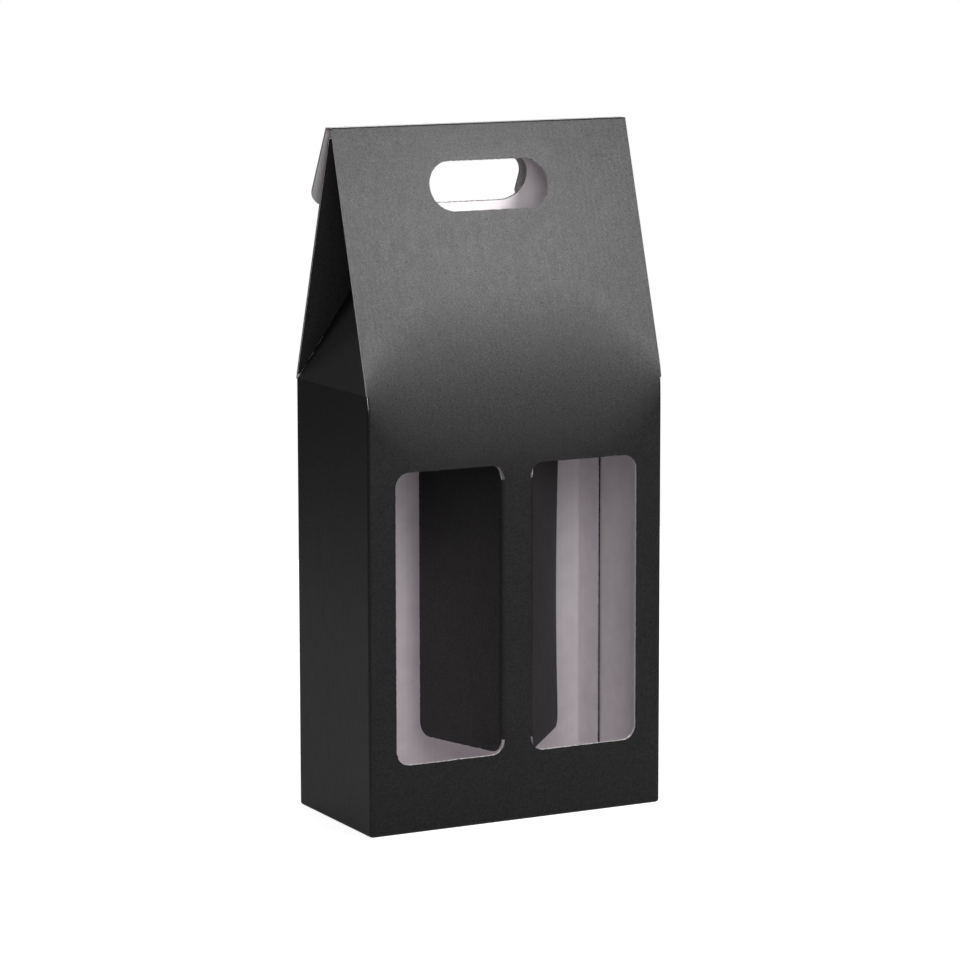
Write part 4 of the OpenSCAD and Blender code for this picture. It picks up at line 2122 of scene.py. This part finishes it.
@dataclass
class Studio:
    """Camera, floor, backdrop and lights.

    Attributes:
        azimuth: Direction in which the camera looks, off Y.
        elevation: Angle by which it looks down.
        roll: Angle by which it is turned about its own axis.
        distance: Distance of the camera from the aim, along its axis.
        aim_height: Height of the aim.
        aim_right: Shift of the camera to its right.
        aim_up: Shift of the camera upward.
        focal_px: Focal length, in pixels of the picture.
        frame_px: Width of the picture, in pixels.
        sensor: Width of the sensor.
        clip: Nearest and farthest distance that is seen, in metres.
        floor_grey: Colour of the floor.
        floor_rough: Roughness of the floor.
        floor_half: Half of its width, in metres.
        floor_glow: Strength of its glow near the carton.
        floor_edge_glow: Strength of its glow at its edge.
        glow_reach: Distances between which the glow grows, in metres.
        gloss_share: Share of the white surroundings that gloss and clear stuff see.
        ambient: Strength of the dim surroundings.
        backdrop_turn: Angle from the backdrop's middle to its edge.
        softboxes: The lights.
    """

    azimuth: float = math.radians(27.584)
    elevation: float = math.radians(8.988)
    roll: float = -0.0018
    distance: float = 2206.8
    aim_height: float = 190.0
    aim_right: float = 0.384
    aim_up: float = -7.05
    focal_px: float = 4000.6
    frame_px: float = 960.0
    sensor: float = 36.0
    clip: Point = (0.05, 50.0)
    floor_grey: float = 0.50
    floor_rough: float = 0.9
    floor_half: float = 0.75
    floor_glow: float = 0.82
    floor_edge_glow: float = 1.0
    glow_reach: Point = (0.4, 0.7)
    gloss_share: float = 0.2
    ambient: float = 0.04
    backdrop_turn: float = math.radians(24.0)
    softboxes: tuple[Softbox, ...] = (
        Softbox("high_key", (0.236, -0.530, 0.641), (0.25, 0.25), 4.5),
        Softbox("low_key", (0.322, -0.558, 0.523), (0.25, 0.25), 2.8),
        Softbox("front_softbox", (-0.533, -1.465, 1.15), (0.9, 0.9), 9.4),
        Softbox("low_softbox", (-0.75, -1.82, 0.60), (1.3, 0.6), 4.6),
        Softbox("left_floor_softbox", (-0.90, 0.50, 0.60), (0.5, 0.5), 1.8, (-0.4, 0.25, 0.0)),
        Softbox("rear_softbox", (0.318, 1.187, 1.11), (0.8, 0.8), 6.0),
        Softbox("rear_low_softbox", (0.75, 1.82, 0.60), (1.3, 0.6), 10.0),
        Softbox("right_softbox", (1.75, 0.75, 0.50), (0.9, 0.6), 6.0),
        Softbox("gable_softbox", (-0.375, 1.315, 0.87), (0.6, 0.6), 0.5),
    )

    def camera(self) -> None:
        """Sets the camera at the photograph's viewing angle."""
        level_reach = math.cos(self.elevation)
        toward = Vector((math.sin(self.azimuth) * level_reach, math.cos(self.azimuth) * level_reach,
                         -math.sin(self.elevation)))
        level = toward.cross(Vector((0, 0, 1))).normalized()
        upright = level.cross(toward)
        c, s = math.cos(self.roll), math.sin(self.roll)
        right, up = level * c + upright * s, upright * c - level * s
        target = Vector((0, 0, self.aim_height))
        place = target - toward * self.distance + right * self.aim_right + up * self.aim_up
        data = bpy.data.cameras.new("camera")
        data.sensor_width = self.sensor
        data.lens = self.focal_px / self.frame_px * self.sensor
        data.clip_start, data.clip_end = self.clip
        camera = add_object("camera", data)
        turn = Matrix((right, up, -toward)).transposed().to_4x4()
        camera.matrix_world = Matrix.Translation(place * MM) @ turn
        bpy.context.scene.camera = camera

    def floor(self) -> None:
        """Lays a plain pale floor that the camera sees as white, with the carton's shadow on it."""
        mesh = bpy.data.meshes.new("floor")
        half, grey = self.floor_half, self.floor_grey
        corners = [(-half, -half, 0), (half, -half, 0), (half, half, 0), (-half, half, 0)]
        mesh.from_pydata(corners, [], [(0, 1, 2, 3)])
        floor = add_object("floor", mesh)
        material = bpy.data.materials.new("pale_floor")
        material.use_nodes = True
        tree = material.node_tree
        shader = tree.nodes["Principled BSDF"]
        feed(tree, shader, {"Base Color": (grey, grey, grey, 1.0), "Roughness": self.floor_rough,
                            "Specular IOR Level": 0.0})
        where = add(tree, "ShaderNodeTexCoord").outputs["Object"]
        away = add(tree, "ShaderNodeVectorMath", {0: where}, operation="LENGTH").outputs["Value"]
        near, far = self.glow_reach
        edge = add(tree, "ShaderNodeMapRange", {"Value": away, "From Min": near, "From Max": far,
                                                "To Min": self.floor_glow, "To Max": self.floor_edge_glow})
        strength = maths(tree, "MULTIPLY", edge.outputs["Result"], self.shown(tree))
        glow = add(tree, "ShaderNodeEmission", {"Color": WHITE, "Strength": strength})
        both = add(tree, "ShaderNodeAddShader", {0: shader.outputs[0], 1: glow.outputs[0]})
        feed(tree, tree.nodes["Material Output"], {"Surface": both.outputs[0]})
        mesh.materials.append(material)

    def shown(self, tree: bpy.types.NodeTree) -> bpy.types.NodeSocket:
        """Tells how white a ray sees the surroundings.

        Args:
            tree: Tree that the nodes go into.

        Returns:
            One for the camera's own rays, a share for gloss and clear stuff, and nothing for light.
        """
        rays = add(tree, "ShaderNodeLightPath").outputs
        gloss = maths(tree, "MAXIMUM", rays["Is Glossy Ray"], rays["Is Transmission Ray"])
        return maths(tree, "MAXIMUM", rays["Is Camera Ray"], maths(tree, "MULTIPLY", gloss, self.gloss_share))

    def world(self) -> None:
        """Puts a white backdrop behind the carton, in dim surroundings that the camera sees as white."""
        world = bpy.data.worlds.new("studio")
        world.use_nodes = True
        bpy.context.scene.world = world
        tree = world.node_tree
        facing = (math.sin(self.azimuth), math.cos(self.azimuth), 0.0)
        where = add(tree, "ShaderNodeTexCoord").outputs["Generated"]
        ahead = add(tree, "ShaderNodeVectorMath", {0: where, 1: facing}, operation="DOT_PRODUCT")
        behind = maths(tree, "GREATER_THAN", ahead.outputs["Value"], math.cos(self.backdrop_turn))
        camera_ray = add(tree, "ShaderNodeLightPath").outputs["Is Camera Ray"]
        white = maths(tree, "MAXIMUM", maths(tree, "MULTIPLY", behind, self.shown(tree)), camera_ray)
        strength = scaled(tree, white, 1.0 - self.ambient, self.ambient)
        feed(tree, tree.nodes["Background"], {"Color": WHITE, "Strength": strength})

    def build(self) -> None:
        """Sets up the studio."""
        self.camera()
        self.floor()
        self.world()
        for softbox in self.softboxes:
            softbox.build()
        bpy.context.scene.view_settings.view_transform = "Standard"


def main() -> None:
    """Builds the carton and its studio, and reports each piece."""
    logging.basicConfig(level=logging.INFO, format="%(name)s: %(message)s")
    carton = Carton()
    finishes = Finishes.make(carton.board)
    shop = Workshop(carton, finishes, BoardTool(carton.board, finishes))
    for part in (Walls(shop), GlueSeam(shop), Gable(shop), Gussets(shop), Dividers(shop), Bottom(shop)):
        part.build()
    Studio().build()
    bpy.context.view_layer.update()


if __name__ == "__main__":
    main()
